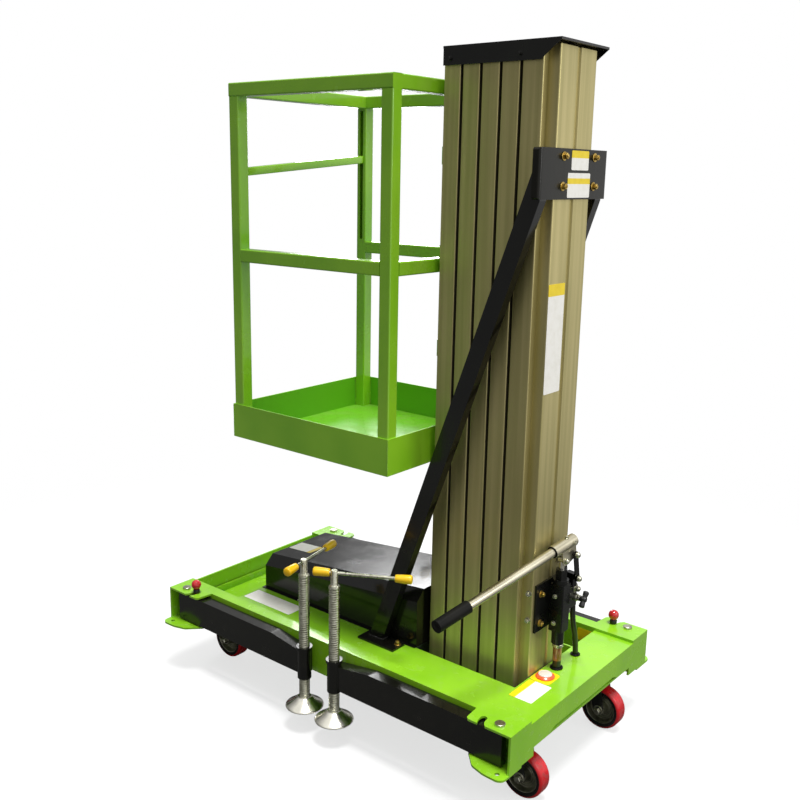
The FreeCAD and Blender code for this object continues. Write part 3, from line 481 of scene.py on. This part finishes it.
red_plastic = moulded("red moulded plastic", "B5121B", "CE1A22", 0.16, 0.6)
black_plastic = moulded("black moulded plastic", "0D0D0D", "171717", 0.38)
dress(red_plastic, "lock_front_left", "lock_rear_right")
lock_inset = 0.049
for name, end, side in (corner_names[0], corner_names[3]):
    collar = turned(((0.0062, 0.2688), (0.0105, 0.2688), (0.0112, 0.2700), (0.0112, 0.2765), (0.0090, 0.2815),
                     (0.0062, 0.2825), (0.0062, 0.2688)), 28)
    bmesh.ops.translate(collar, vec=(end * (pivot_x - lock_inset), side * pivot_y, 0), verts=collar.verts)
    made("lock_collar_" + name, collar, black_plastic, "outrigger_" + name)


# Jacks: a rolled round-thread screw, a pressed foot with a chromed dome, and a tee bar
# that slides in the screw's head and ends in yellow moulded grips.
pitch, crest, root = 0.007, 0.0160, 0.0143
thread_low, thread_turns, round_steps = 0.089, 56, 22
bar_level, bar_radius, grip_half = 0.523, 0.005, 0.024
tee_bars = (
    # corner, end sign, side sign, turn from +X, long reach, short reach
    ("front_left", -1, -1, 78, 0.065, 0.142),
    ("rear_left", 1, -1, 151, 0.037, 0.198),
    ("front_right", -1, 1, 78, 0.065, 0.142),
    ("rear_right", 1, 1, 151, 0.037, 0.198),
)


def joined(*shapes):
    """One mesh under construction out of several."""
    whole = bmesh.new()
    for shape in shapes:
        mesh = bpy.data.meshes.new("part")
        shape.to_mesh(mesh)
        shape.free()
        whole.from_mesh(mesh)
        bpy.data.meshes.remove(mesh)
    return whole


def moved(shape, place):
    bmesh.ops.transform(shape, matrix=place, verts=shape.verts)
    return shape


def thread():
    """Rounded thread about Z, one section spun up through every turn."""
    shape = bmesh.new()
    section = ((root, 0.0), (root, 0.20), (crest, 0.42), (crest, 0.72), (root, 1.0))
    line = [shape.verts.new((radius, 0, thread_low + pitch * part)) for radius, part in section]
    edges = [shape.edges.new(pair) for pair in zip(line, line[1:])]
    bmesh.ops.spin(shape, geom=line + edges, cent=(0, 0, 0), axis=(0, 0, 1), dvec=(0, 0, pitch / round_steps),
                   angle=math.tau * thread_turns, steps=round_steps * thread_turns, use_merge=False)
    bmesh.ops.remove_doubles(shape, verts=shape.verts, dist=1e-5)
    return shape


chrome = metal("chromed steel", "EDEADB", "FBF8EA", 0.09, 25.0, 0.00002)
yellow_plastic = moulded("yellow moulded plastic", "F0BC0C", "FACE12", 0.30, 0.2)
for name, end, side, turn, long_reach, short_reach in tee_bars:
    upright = Matrix.Translation((end * sleeve_x, side * sleeve_y, 0))
    shank = turned(((0, 0.4780), (0.0162, 0.4780), (0.0162, 0.4835), (0.0118, 0.4875), (0.0105, 0.4890),
                    (0.0105, 0.5285), (0.0088, 0.5310), (0, 0.5310)), 36)
    angle = math.radians(turn)
    along = Vector((math.cos(angle), side * math.sin(angle), 0))
    middle = Vector((end * sleeve_x, side * sleeve_y, bar_level))
    tips = ((middle + along * long_reach, along), (middle - along * short_reach, -along))
    length = long_reach + short_reach
    rod = turned(((0, 0), (bar_radius, 0), (bar_radius, length), (0, length)), 24)
    screw = joined(moved(joined(thread(), shank), upright), moved(rod, stood(tips[1][0], along)))
    piece = made("jack_screw_" + name, screw, zinc, "leg_" + name, 50)
    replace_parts(piece, "jack_" + name)
    foot = turned(((0, 0.0660), (0.0545, 0.0660), (0.0566, 0.0668), (0.0570, 0.0682), (0.0564, 0.0697),
                   (0.0530, 0.0722), (0.0460, 0.0765), (0.0380, 0.0820), (0.0300, 0.0882), (0.0245, 0.0928),
                   (0.0212, 0.0948), (0.0195, 0.0962), (0.0190, 0.0980), (0, 0.0980)), 64)
    made("jack_foot_" + name, moved(foot, upright), chrome, "leg_" + name, 50)
    grip = turned(((0, 0), (0.0098, 0), (0.0106, 0.0008), (0.0112, 0.0040), (0.0124, 0.0220), (0.0130, 0.0400),
                   (0.0128, 0.0438), (0.0116, 0.0466), (0.0090, 0.0480), (0, 0.0480)), 36)
    grips = copies(grip, [stood(tip - way * grip_half, way) for tip, way in tips])
    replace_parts(made("bar_grips_" + name, grips, yellow_plastic, "leg_" + name, 50),
                "grips_" + name)


# Wheels: cast hubs with turned faces, and a bonded tyre with a near-black core beside a
# glossy red polyurethane tread that picks up grey floor dust.
wheel_z, wheel_side, rim_face, web_face = 0.0635, 0.219, 0.0190, 0.0060
front_x, rear_x, swivel_x = -0.5535, 0.620, 0.588
hub_steel = metal("hub bearing steel", "8E8D80", "B9B7A6", 0.28, 60.0, 0.00004)
rings = []
for radius, height, thickness in ((0.0462, rim_face, 0.0013), (0.0368, web_face, 0.0009), (0.0300, web_face, 0.0007),
                                  (0.0240, web_face, 0.0009)):
    points = [(radius + thickness * math.cos(math.tau * step / 8), height + thickness * math.sin(math.tau * step / 8))
              for step in range(9)]
    rings.append(turned(points, 48))
cap = turned(((0.0070, 0.0240), (0.0130, 0.0240), (0.0142, 0.0246), (0.0142, 0.0252), (0.0130, 0.0258),
              (0.0070, 0.0258), (0.0070, 0.0240)), 32)
hub_face = joined(*rings, cap)
face_mesh = bpy.data.meshes.new("hub_face")
hub_face.to_mesh(face_mesh)
hub_face.free()
for end_name, wheel_x in (("front", front_x), ("rear", rear_x)):
    tyre = Finish("red tread and black core, %s" % end_name)
    out = tyre.ring((wheel_x, wheel_z), ("x", "z"))
    grime = tyre.noise(70.0, 5.0).ramp(0.45, 0.75)
    rolled = out.ramp(0.0615, 0.0634) * grime
    red = tyre.blend(tyre.noise(20.0, 3.0).ramp(0.3, 0.7), linear("B9101A"), linear("D11B24"))
    worn = tyre.blend(rolled * 0.45, red, linear("6E4A44"))
    core = tyre.blend(grime, linear("121110"), linear("24211E"))
    mould_line = tyre.band(abs(tyre.y) - wheel_side, -0.0004, 0.0004, 0.0003)
    tyre.set(Base_Color=tyre.blend(out.ramp(0.0560, 0.0566), core, worn), Roughness=0.22 + rolled * 0.35,
             Coat_Weight=0.15, Coat_Roughness=0.1)
    tyre.bump(mould_line * 1.2 + tyre.noise(260.0, 3.0) * 0.5, 0.0002, 0.6)
    hub = Finish("turned hub face, %s" % end_name)
    across = hub.ring((wheel_x, wheel_z), ("x", "z"))
    patch = hub.noise(45.0, 4.0).ramp(0.3, 0.7)
    hub.set(Base_Color=hub.blend(patch, linear("6C6D5C"), linear("98987F")), Metallic=0.85,
            Roughness=0.30 + patch * 0.14)
    hub.bump((across * 5200.0).wave(), 0.00008, 0.7)
    for side_name, side in (("left", -1), ("right", 1)):
        wheel = "wheel_%s_%s" % (end_name, side_name)
        dress(tyre, "tyre_%s_%s" % (end_name, side_name))
        dress(hub, "hub_%s_%s" % (end_name, side_name))
        faces = bmesh.new()
        for outward in (-1, 1):
            before = len(faces.verts)
            faces.from_mesh(face_mesh)
            faces.verts.ensure_lookup_table()
            place = stood((wheel_x, side * wheel_side, wheel_z), (0, outward, 0))
            bmesh.ops.transform(faces, matrix=place, verts=faces.verts[before:])
        made("hub_rings_%s_%s" % (end_name, side_name), faces, hub_steel, wheel, 50)
bpy.data.meshes.remove(face_mesh)


# Castors: black painted forks on plates that are bolted up to the cross plates; the rear
# pair swivels on a ball race, and every axle is a bolt with a lock nut.
castor_paint = sprayed("black castor paint", "121312", "1E1F1D", 0.30, 0.2, "5A574E")
dress(castor_paint, "front_castors", "castor_plates", "castor_fork_left", "castor_fork_right")


def hexagon(across, height, stem=0.0):
    """Hexagon nut or bolt head with a chamfered top, on its washer face, with a bolt end if a stem is given."""
    shape = bmesh.new()
    bmesh.ops.create_cone(shape, cap_ends=True, segments=6, radius1=across / math.sqrt(3),
                          radius2=across / math.sqrt(3), depth=height)
    bmesh.ops.translate(shape, vec=(0, 0, height / 2), verts=shape.verts)
    shape.faces.ensure_lookup_table()
    top = [face for face in shape.faces if face.normal.z > 0.9]
    bmesh.ops.inset_region(shape, faces=top, thickness=across * 0.07, depth=0)
    bmesh.ops.translate(shape, vec=(0, 0, height * 0.12), verts=top[0].verts)
    if stem:
        end = bmesh.ops.create_cone(shape, cap_ends=True, segments=20, radius1=stem, radius2=stem * 0.85,
                                    depth=height * 0.6)
        bmesh.ops.translate(shape, vec=(0, 0, height * 1.08), verts=end["verts"])
    return shape


def bolts(name, places, across, finish, body, stem=0.0):
    """Bolt heads or nuts on washers: (place, direction) for each."""
    chance = random.Random(name)
    thick = across * 0.16
    seat = turned(((0, 0), (across * 0.78, 0), (across * 0.84, thick * 0.3), (across * 0.84, thick * 0.8),
                   (across * 0.78, thick), (0, thick)), 28)
    seats = copies(seat, [stood(place, along) for place, along in places])
    heads = copies(hexagon(across, across * 0.62, stem),
                   [stood(Vector(place) + Vector(along).normalized() * thick, along, chance.uniform(0, math.tau))
                    for place, along in places])
    return made(name, joined(seats, heads), finish, body, 25)


plate_under, plate_x, plate_y = 0.174, 0.043, 0.034
down = (0, 0, -1)
plate_bolts = [((head_x + a * plate_x, side * wheel_side + b * plate_y, plate_under), down)
               for head_x in (front_x, swivel_x) for side in (-1, 1) for a in (-1, 1) for b in (-1, 1)]
bolts("castor_bolts", plate_bolts, 0.0100, zinc, "chassis", 0.0030)
fork_face = 0.0295
for name, side in (("left", -1), ("right", 1)):
    for end_name, wheel_x, body in (("front", front_x, "chassis"), ("rear", rear_x, "swivel_" + name)):
        nuts = [((wheel_x, side * wheel_side + outward * fork_face, wheel_z), (0, outward, 0)) for outward in (-1, 1)]
        bolts("axle_nuts_%s_%s" % (end_name, name), nuts, 0.0175, zinc, body)
    race = turned(((0.0230, 0.1655), (0.0300, 0.1655), (0.0312, 0.1668), (0.0312, 0.1690), (0.0300, 0.1703),
                   (0.0230, 0.1703), (0.0230, 0.1655)), 40)
    made("castor_race_" + name, moved(race, Matrix.Translation((swivel_x, side * wheel_side, 0))), zinc, "chassis")


# Power pack cover: folded black sheet over the batteries, screwed down through a lip; the
# pack under it is plain grey plastic.
dress(black_paint, "power_cover")
pack_grey = moulded("grey battery case", "54565A", "66686C", 0.5)
dress(pack_grey, "power_pack")
cover_start, cover_low, slope = -0.447, 0.3703, 0.064 / 0.642


def on_cover(x, y):
    """A point on the sloping top of the cover."""
    return (x, y, cover_low + (x - cover_start) * slope)


stuck("cover_sticker", (on_cover(-0.440, -0.058), on_cover(-0.335, -0.064), on_cover(-0.333, -0.002),
                        on_cover(-0.440, 0.004)), vinyl_thick, vinyl("cover sticker print", "x", -0.352, -0.330),
      "chassis")
lip_top = 0.2610
lip_screws = [((x, side * 0.1646, lip_top), (0, 0, 1)) for side in (-1, 1) for x in (-0.290, -0.130, 0.029)]
lip_screws += [((-0.4451, y, lip_top), (0, 0, 1)) for y in (-0.155, 0.0, 0.155)]
bolts("cover_screws", lip_screws, 0.0038, zinc, "chassis", 0.0016)


# Mast: five drawn aluminium sections in a champagne finish, with die lines along their
# length, painted shade that darkens the joints between them, and tee rails that run in tee slots.
aluminium = Finish("champagne drawn aluminium")
die_lines = aluminium.noise(900.0, 2.0, (1, 1, 0.003))
streaks = aluminium.noise(60.0, 3.0, (1, 1, 0.02)).ramp(0.3, 0.7)
haze = aluminium.noise(5.0, 3.0, (1, 1, 0.35)).ramp(0.3, 0.7)
section_pitch, section_depth, gap_shade_depth, section_count = 0.0595, 0.0515, 0.016, 4
mast_nose, mast_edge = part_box("mast_stage_4")[0].x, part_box("mast_stage_4")[1].y
sections_end = mast_nose + section_count * section_pitch
along_section = aluminium.node("ShaderNodeMath", {"operation": "FRACT"},
                               {0: (aluminium.x - mast_nose) * (1 / section_pitch)})
gap_start = section_depth / section_pitch
# Painted shade: a band at each joint between the sections is painted almost black, less metallic and rougher, where
# shade falls in the gap.
gap_shade = (along_section.ramp(gap_start - 0.0065, gap_start - 0.0010)
          * abs(aluminium.y).ramp(mast_edge - gap_shade_depth - 0.004, mast_edge - gap_shade_depth)
          * aluminium.x.ramp(sections_end - 0.0012, sections_end - 0.0006, 1.0, 0.0))
drawn = aluminium.blend(streaks * 0.55 + haze * 0.45, linear("ACA36C"), linear("CCBF88"))
aluminium.set(Base_Color=aluminium.blend(gap_shade * 0.92, drawn, linear("12110C")), Metallic=0.75 - gap_shade * 0.6,
              Roughness=0.33 + haze * 0.10 + die_lines * 0.08 + gap_shade * 0.25)
aluminium.bump(die_lines + streaks * 0.4, 0.00012, 0.5)
dress(aluminium, "mast_fixed", "mast_stage_1", "mast_stage_2", "mast_stage_3", "mast_stage_4")
mast_back = 0.5372
stuck("mast_sign", upright_at(mast_back, -0.090, -0.0095, 1.063, 1.349), vinyl_thick,
      vinyl("mast sign print", "z", 1.318, 1.36), "chassis")


# Mast cap, bracket and braces: black painted steel. The cap is folded and riveted, the
# bracket is bolted to the mast's back, and the braces stand on bolted foot plates.
dress(black_paint, "mast_cap", "brace_left", "brace_right")
bracket_paint = sprayed("dark grey gloss paint", "12110B", "1B1A12", 0.18, 0.08, "35342C", 0.22)
dress(bracket_paint, "mast_bracket")
yellow_zinc = metal("yellow passivated steel", "A98A3E", "CDB266", 0.28, 90.0, 0.00006)
bracket_face = 0.5432
bolts("bracket_bolts", [((bracket_face, y, z), (1, 0, 0)) for y in (-0.060, 0.097) for z in (1.665, 1.592)], 0.0135,
      yellow_zinc, "chassis", 0.0040)
stuck("bracket_sign", upright_at(bracket_face, -0.021, 0.066, 1.632, 1.680), vinyl_thick,
      vinyl("bracket sign print", "z", 1.662, 1.69), "chassis")
stuck("bracket_plate", upright_at(bracket_face, -0.036, 0.078, 1.564, 1.625), vinyl_thick,
      vinyl("bracket plate print", "z", 1.598, 1.612), "chassis")
foot_top = 0.265
foot_bolts = [((0.149, side * 0.190, foot_top), (0, 0, 1)) for side in (-1, 1)]
bolts("foot_bolts", foot_bolts, 0.0130, yellow_zinc, "chassis", 0.0038)
foot_seams = []
for side in (-1, 1):
    front, rear, inner, outer = 0.0437, 0.0963, side * 0.1750, side * 0.1972
    corners = [(front, inner, foot_top), (front, outer, foot_top), (rear, outer, foot_top), (rear, inner, foot_top)]
    foot_seams += list(zip(corners, corners[1:]))
weld_bead("foot_seams", foot_seams, 0.0055, black_paint, "chassis")
cap_rivets = [((x, side * 0.1195, 1.905), (0, side, 0)) for side in (-1, 1) for x in (0.230, 0.440)]
bolts("cap_screws", cap_rivets, 0.0075, black_paint, "stage_4")


# Hand pump: a black cast body on a steel plate, bolted to the mast's back, with plated
# valve fittings and a moulded wing knob; a chromed plunger rises through its gland.
pump_paint = sprayed("black pump paint", "0A0A09", "141413", 0.24, 0.12, "35342C", 0.3)
dress(pump_paint, "pump_body", "pump_gland", "pump_link")
dress(chrome, "pump_plunger")
plate_face = 0.5432
bolts("pump_plate_bolts", [((plate_face, y, z), (1, 0, 0)) for y in (-0.056, 0.036) for z in (0.499, 0.4125)], 0.0125,
      yellow_zinc, "chassis", 0.0038)
bolts("box_bolts", [((x, -0.0902, z), (0, -1, 0)) for x, z in ((0.526, 0.506), (0.526, 0.427))], 0.0110, zinc,
      "chassis", 0.0034)
bolts("body_bolts", [((0.566, -0.0172, z), (0, -1, 0)) for z in (0.485, 0.405)], 0.0085, zinc, "chassis")
valve_nuts = turned(((0, 0), (0.0098, 0), (0.0110, 0.0010), (0.0110, 0.0070), (0.0086, 0.0085), (0.0086, 0.0150),
                     (0.0070, 0.0165), (0, 0.0165)), 32)
valve_face, knob_y, knob_level, knob_reach = 0.5835, 0.066, 0.461, 0.028
made("knob_gland", moved(valve_nuts, stood((valve_face, knob_y, knob_level), (1, 0, 0))), zinc, "chassis")
bolts("valve_fitting", [((0.5838, 0.064, 0.488), (1, 0, 0))], 0.0150, zinc, "chassis", 0.0050)
knob_middle, knob_turn = Vector((valve_face + knob_reach, knob_y, knob_level)), math.radians(35)
knob_way = Vector((0, math.sin(knob_turn), math.cos(knob_turn)))
wing = ((0, 0), (0.0064, 0), (0.0066, 0.0060), (0.0078, 0.0130), (0.0086, 0.0185), (0.0084, 0.0215),
        (0.0066, 0.0236), (0.0034, 0.0246), (0, 0.0248))
knob_hub = turned(((0, -0.0130), (0.0076, -0.0130), (0.0082, -0.0120), (0.0086, 0.0030), (0.0070, 0.0072),
                   (0, 0.0080)), 32)
wings = copies(turned(wing, 32), [stood(knob_middle, knob_way), stood(knob_middle, -knob_way)])
made("knob_wings", joined(wings, moved(knob_hub, stood(knob_middle, (1, 0, 0)))), black_plastic, "chassis",
     50)


# Pump lever: a plated tube with a satin sheen, held in its socket by a set screw, and a
# black rubber grip with a rounded end. Domed nuts close the pins of the lever and link.
tube_steel = metal("satin plated tube", "B9B29A", "D9D3BC", 0.26, 30.0, 0.00004, (1, 0.05, 1))
dress(tube_steel, "pump_lever")
rubber = moulded("black rubber grip", "0D0D0B", "151410", 0.50)
rubber.set(Specular_IOR_Level=0.12)
dress(rubber, "pump_grip")
swing, rise = math.radians(-8.3), math.radians(10)
pump_frame = Matrix.Translation((0.570, 0.004, 0.629)) @ Matrix.Rotation(swing, 4, "Z")
lever_frame = pump_frame @ Matrix.Rotation(rise, 4, "X")
mouth = turned(((0.0127, -0.0006), (0.0160, -0.0006), (0.0166, 0), (0.0166, 0.0010), (0.0160, 0.0016),
                (0.0127, 0.0016), (0.0127, -0.0006)), 36)
made("socket_mouth", moved(mouth, lever_frame @ stood((0, -0.0454, 0), (0, -1, 0))), rubber, "lever")
end_cap = turned(((0, 0), (0.0172, 0), (0.0170, 0.0020), (0.0150, 0.0050), (0.0112, 0.0068), (0, 0.0076)), 36)
made("grip_end", moved(end_cap, lever_frame @ stood((0, -0.4860, 0), (0, -1, 0))), rubber, "lever")
socket_radius = 0.0166
for name, place, along in (("set_screw", (0, 0.016, socket_radius), (0, 0, 1)),
                           ("stop_screw", (socket_radius, 0.030, 0), (1, 0, 0))):
    bolts(name, [(lever_frame @ Vector(place), lever_frame.to_3x3() @ Vector(along))], 0.0085, zinc, "lever")
dome = ((0, 0), (0.0088, 0), (0.0092, 0.0006), (0.0092, 0.0016), (0.0074, 0.0020), (0.0074, 0.0058),
        (0.0062, 0.0078), (0.0036, 0.0092), (0, 0.0097))
ends = [pump_frame @ stood((side * 0.0258, y, z), (side, 0, 0)) for side in (-1, 1)
        for y, z in ((0.0321, -0.0268), (0.0450, -0.1010))]
made("link_nuts", copies(turned(dome, 24), ends), zinc, "chassis")
pin_ends = [lever_frame @ stood((side * 0.0138, -0.0071, -0.0404), (side, 0, 0)) for side in (-1, 1)]
made("clevis_nuts", copies(turned(dome, 24), pin_ends), zinc, "lever")


# Hoses: black rubber hoses through rubber grommets in the deck; the return hose has a
# crimped ring and a short clear length that shows brown oil.
hose_rubber = moulded("black hose rubber", "0B0B0B", "171716", 0.34, 0.2)
dress(hose_rubber, "pump_hoses")
return_hose, pressure_hose = Matrix.Translation((0.569, 0.009, 0)), Matrix.Translation((0.571, 0.113, 0))
grommet = [(0.0118, 0.2560), (0.0165, 0.2592), (0.0185, 0.2600), (0.0182, 0.2625), (0.0155, 0.2640),
           (0.0125, 0.2636), (0.0118, 0.2620), (0.0118, 0.2560)]
made("return_grommet", moved(turned(grommet, 36), return_hose), rubber, "chassis")
small_grommet = [(radius - 0.0038, height) for radius, height in grommet]
made("pressure_grommet", moved(turned(small_grommet, 36), pressure_hose), rubber, "chassis")
crimp = turned(((0.0121, 0.3262), (0.0150, 0.3262), (0.0156, 0.3270), (0.0156, 0.3292), (0.0146, 0.3300),
                (0.0146, 0.3312), (0.0156, 0.3320), (0.0156, 0.3342), (0.0150, 0.3350), (0.0121, 0.3350),
                (0.0121, 0.3262)), 36)
made("hose_crimp", moved(crimp, return_hose), zinc, "chassis")
oil = Finish("clear hose with brown oil")
swirl = oil.noise(120.0, 4.0, (1, 1, 0.4)).ramp(0.35, 0.7)
oil.set(Base_Color=oil.blend(swirl, linear("7A4A22"), linear("B98A56")), Roughness=0.12 + swirl * 0.06,
        Coat_Weight=0.7, Coat_Roughness=0.04)
oil.bump(oil.noise(90.0, 2.0), 0.0002, 0.4)
sight = turned(((0.0100, 0.2840), (0.0124, 0.2846), (0.0129, 0.2880), (0.0129, 0.3210), (0.0124, 0.3250),
                (0.0100, 0.3256), (0.0100, 0.2840)), 36)
made("hose_sight", moved(sight, return_hose), oil, "chassis")


# Stop button: an orange moulded shroud ring pressed into the deck, with a pale moulded
# cap that is pushed down to stop the pump motor.
orange_plastic = moulded("orange moulded plastic", "E2501A", "F0632A", 0.28, 0.3)
pale_plastic = moulded("pale moulded cap", "D9CDBF", "E8DED0", 0.30, 0.3)
dress(orange_plastic, "stop_button")
shroud = turned(((0, 0.2594), (0.0262, 0.2594), (0.0270, 0.2606), (0.0268, 0.2622), (0.0215, 0.2668),
                 (0.0205, 0.2672), (0.0200, 0.2660), (0, 0.2660)), 48)
button_place = Matrix.Translation((0.571, -0.056, 0))
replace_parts(made("stop_shroud", moved(shroud, button_place), orange_plastic, "chassis"),
            "stop_button")
press = turned(((0, 0.2655), (0.0188, 0.2655), (0.0196, 0.2668), (0.0192, 0.2686), (0.0174, 0.2698),
                (0.0162, 0.2696), (0.0154, 0.2690), (0.0148, 0.2696), (0.0120, 0.2704), (0, 0.2708)), 48)
made("stop_cap", moved(press, button_place), pale_plastic, "chassis")


# Basket: square tube posts and rails welded to a tray of chequer plate with toe boards,
# all sprayed with the base's lime green; a lift-up bar guards the way in.
dress(green_paint, "basket_posts", "basket_top_rail", "basket_mid_rails", "basket_mount")
tray_paint = sprayed("lime green chequer plate", lime_dark, lime_light, 0.22, 0.45, lime_dust)
cell, lozenge_long, lozenge_short, tread_top = 0.030, 0.75, 0.24, 0.8215
column, row = (tray_paint.node("ShaderNodeMath", {"operation": "FLOOR"}, {0: axis * (1 / cell)})
               for axis in (tray_paint.x, tray_paint.y))
way = (column + row).bounce() * 2.0 - 1.0
across, along = tray_paint.x * (1 / cell) - column - 0.5, tray_paint.y * (1 / cell) - row - 0.5
long_axis, short_axis = across + way * along, across - way * along
lozenge = abs(long_axis) * (1 / lozenge_long) + abs(short_axis) * (1 / lozenge_short)
trodden = tray_paint.z.ramp(tread_top - 0.002, tread_top, 1.0, 0.0)
tread = lozenge.ramp(0.8, 1.05, 1.0, 0.0) * trodden
tray_paint.bump(tread * 10.0 + tray_paint.noise(420.0, 2.0), 0.00014, 0.8)
dress(tray_paint, "basket_tray")
tray_low, tray_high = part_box("basket_tray")
tube, board = 0.038, 0.003
# Inside the tray, the floor and the inner faces of the toe boards are painted a darker green as painted shade, where
# shade falls; from wear they are also rougher there and have less clear coat.
inside_wear_and_shade = (tray_paint.band(tray_paint.x, tray_low.x + board / 2, tray_high.x - board / 2)
          * tray_paint.band(tray_paint.y, tray_low.y + board / 2, tray_high.y - board / 2)
          * tray_paint.band(tray_paint.z, tray_low.z + board / 2, tray_high.z - board / 2))
scuff = tray_paint.noise(24.0, 5.0).ramp(0.35, 0.7)
outside_tone = tray_paint.blend(tray_paint.noise(3.5, 3.0).ramp(0.3, 0.7), linear(lime_dark), linear(lime_light))
# Painted shade: the inside of the tray gets the darker green 66B018.
tone = tray_paint.blend(inside_wear_and_shade, outside_tone, linear("66B018"))
rim = tray_paint.z.ramp(tray_high.z - 0.0010, tray_high.z - 0.0006)
tray_paint.set(Base_Color=tray_paint.blend(trodden * scuff * 0.35, tone, linear("7DA045")),
               Roughness=0.22 + inside_wear_and_shade * 0.16 + rim * 0.30 + trodden * scuff * 0.12,
               Coat_Weight=0.45 - inside_wear_and_shade * 0.40 - rim * 0.40)
basket_seams = []
outer_foot, inner_foot, seam_head = 0.818, 0.822, 0.918
for x, inward in ((tray_low.x, 1), (tray_high.x, -1)):
    for y, aside in ((tray_low.y, 1), (tray_high.y, -1)):
        corner_x, corner_y = x + inward * board, y + aside * board
        post_x, post_y = corner_x + inward * tube, corner_y + aside * tube
        basket_seams.append(((x, y, outer_foot), (x, y, seam_head)))
        basket_seams.append(((post_x, corner_y, inner_foot), (post_x, corner_y, seam_head)))
        basket_seams.append(((corner_x, post_y, inner_foot), (corner_x, post_y, seam_head)))
weld_bead("basket_seams", basket_seams, 0.0035, green_paint, "stage_4")
gate_low, gate_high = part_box("entry_bar")
axis_above_low, bar_wide, bar_end, bar_rise = 0.01245, 0.0236, 0.256, 0.046
bar_x, bar_z = (gate_low.x + gate_high.x) / 2, gate_low.z + axis_above_low
bar_tilt = Matrix.Rotation(math.atan2(bar_rise, 2 * bar_end), 4, "X")
bar_sizes = Matrix.Diagonal((bar_wide, math.hypot(bar_rise, 2 * bar_end), bar_wide, 1))
lift_bar = bmesh.new()
bmesh.ops.create_cube(lift_bar, size=1,
                      matrix=Matrix.Translation((bar_x, 0, bar_z + bar_rise / 2)) @ bar_tilt @ bar_sizes)
bmesh.ops.bevel(lift_bar, geom=lift_bar.edges[:], offset=0.0024, segments=3, profile=0.5, affect="EDGES", material=-1)
keys = bmesh.new()
key_overlap, key_wide, key_high = 0.010, 0.012, 0.020
for y, z in ((gate_low.y, bar_z), (gate_high.y, bar_z + bar_rise)):
    inner = math.copysign(bar_end - key_overlap, y)
    key_sizes = Matrix.Diagonal((key_wide, abs(y - inner), key_high, 1))
    bmesh.ops.create_cube(keys, size=1, matrix=Matrix.Translation((bar_x, (y + inner) / 2, z)) @ key_sizes)
bmesh.ops.bevel(keys, geom=keys.edges[:], offset=0.0008, segments=2, profile=0.5, affect="EDGES", material=-1)
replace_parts(made("lift_up_bar", joined(lift_bar, keys), green_paint, "gate"), "entry_bar")
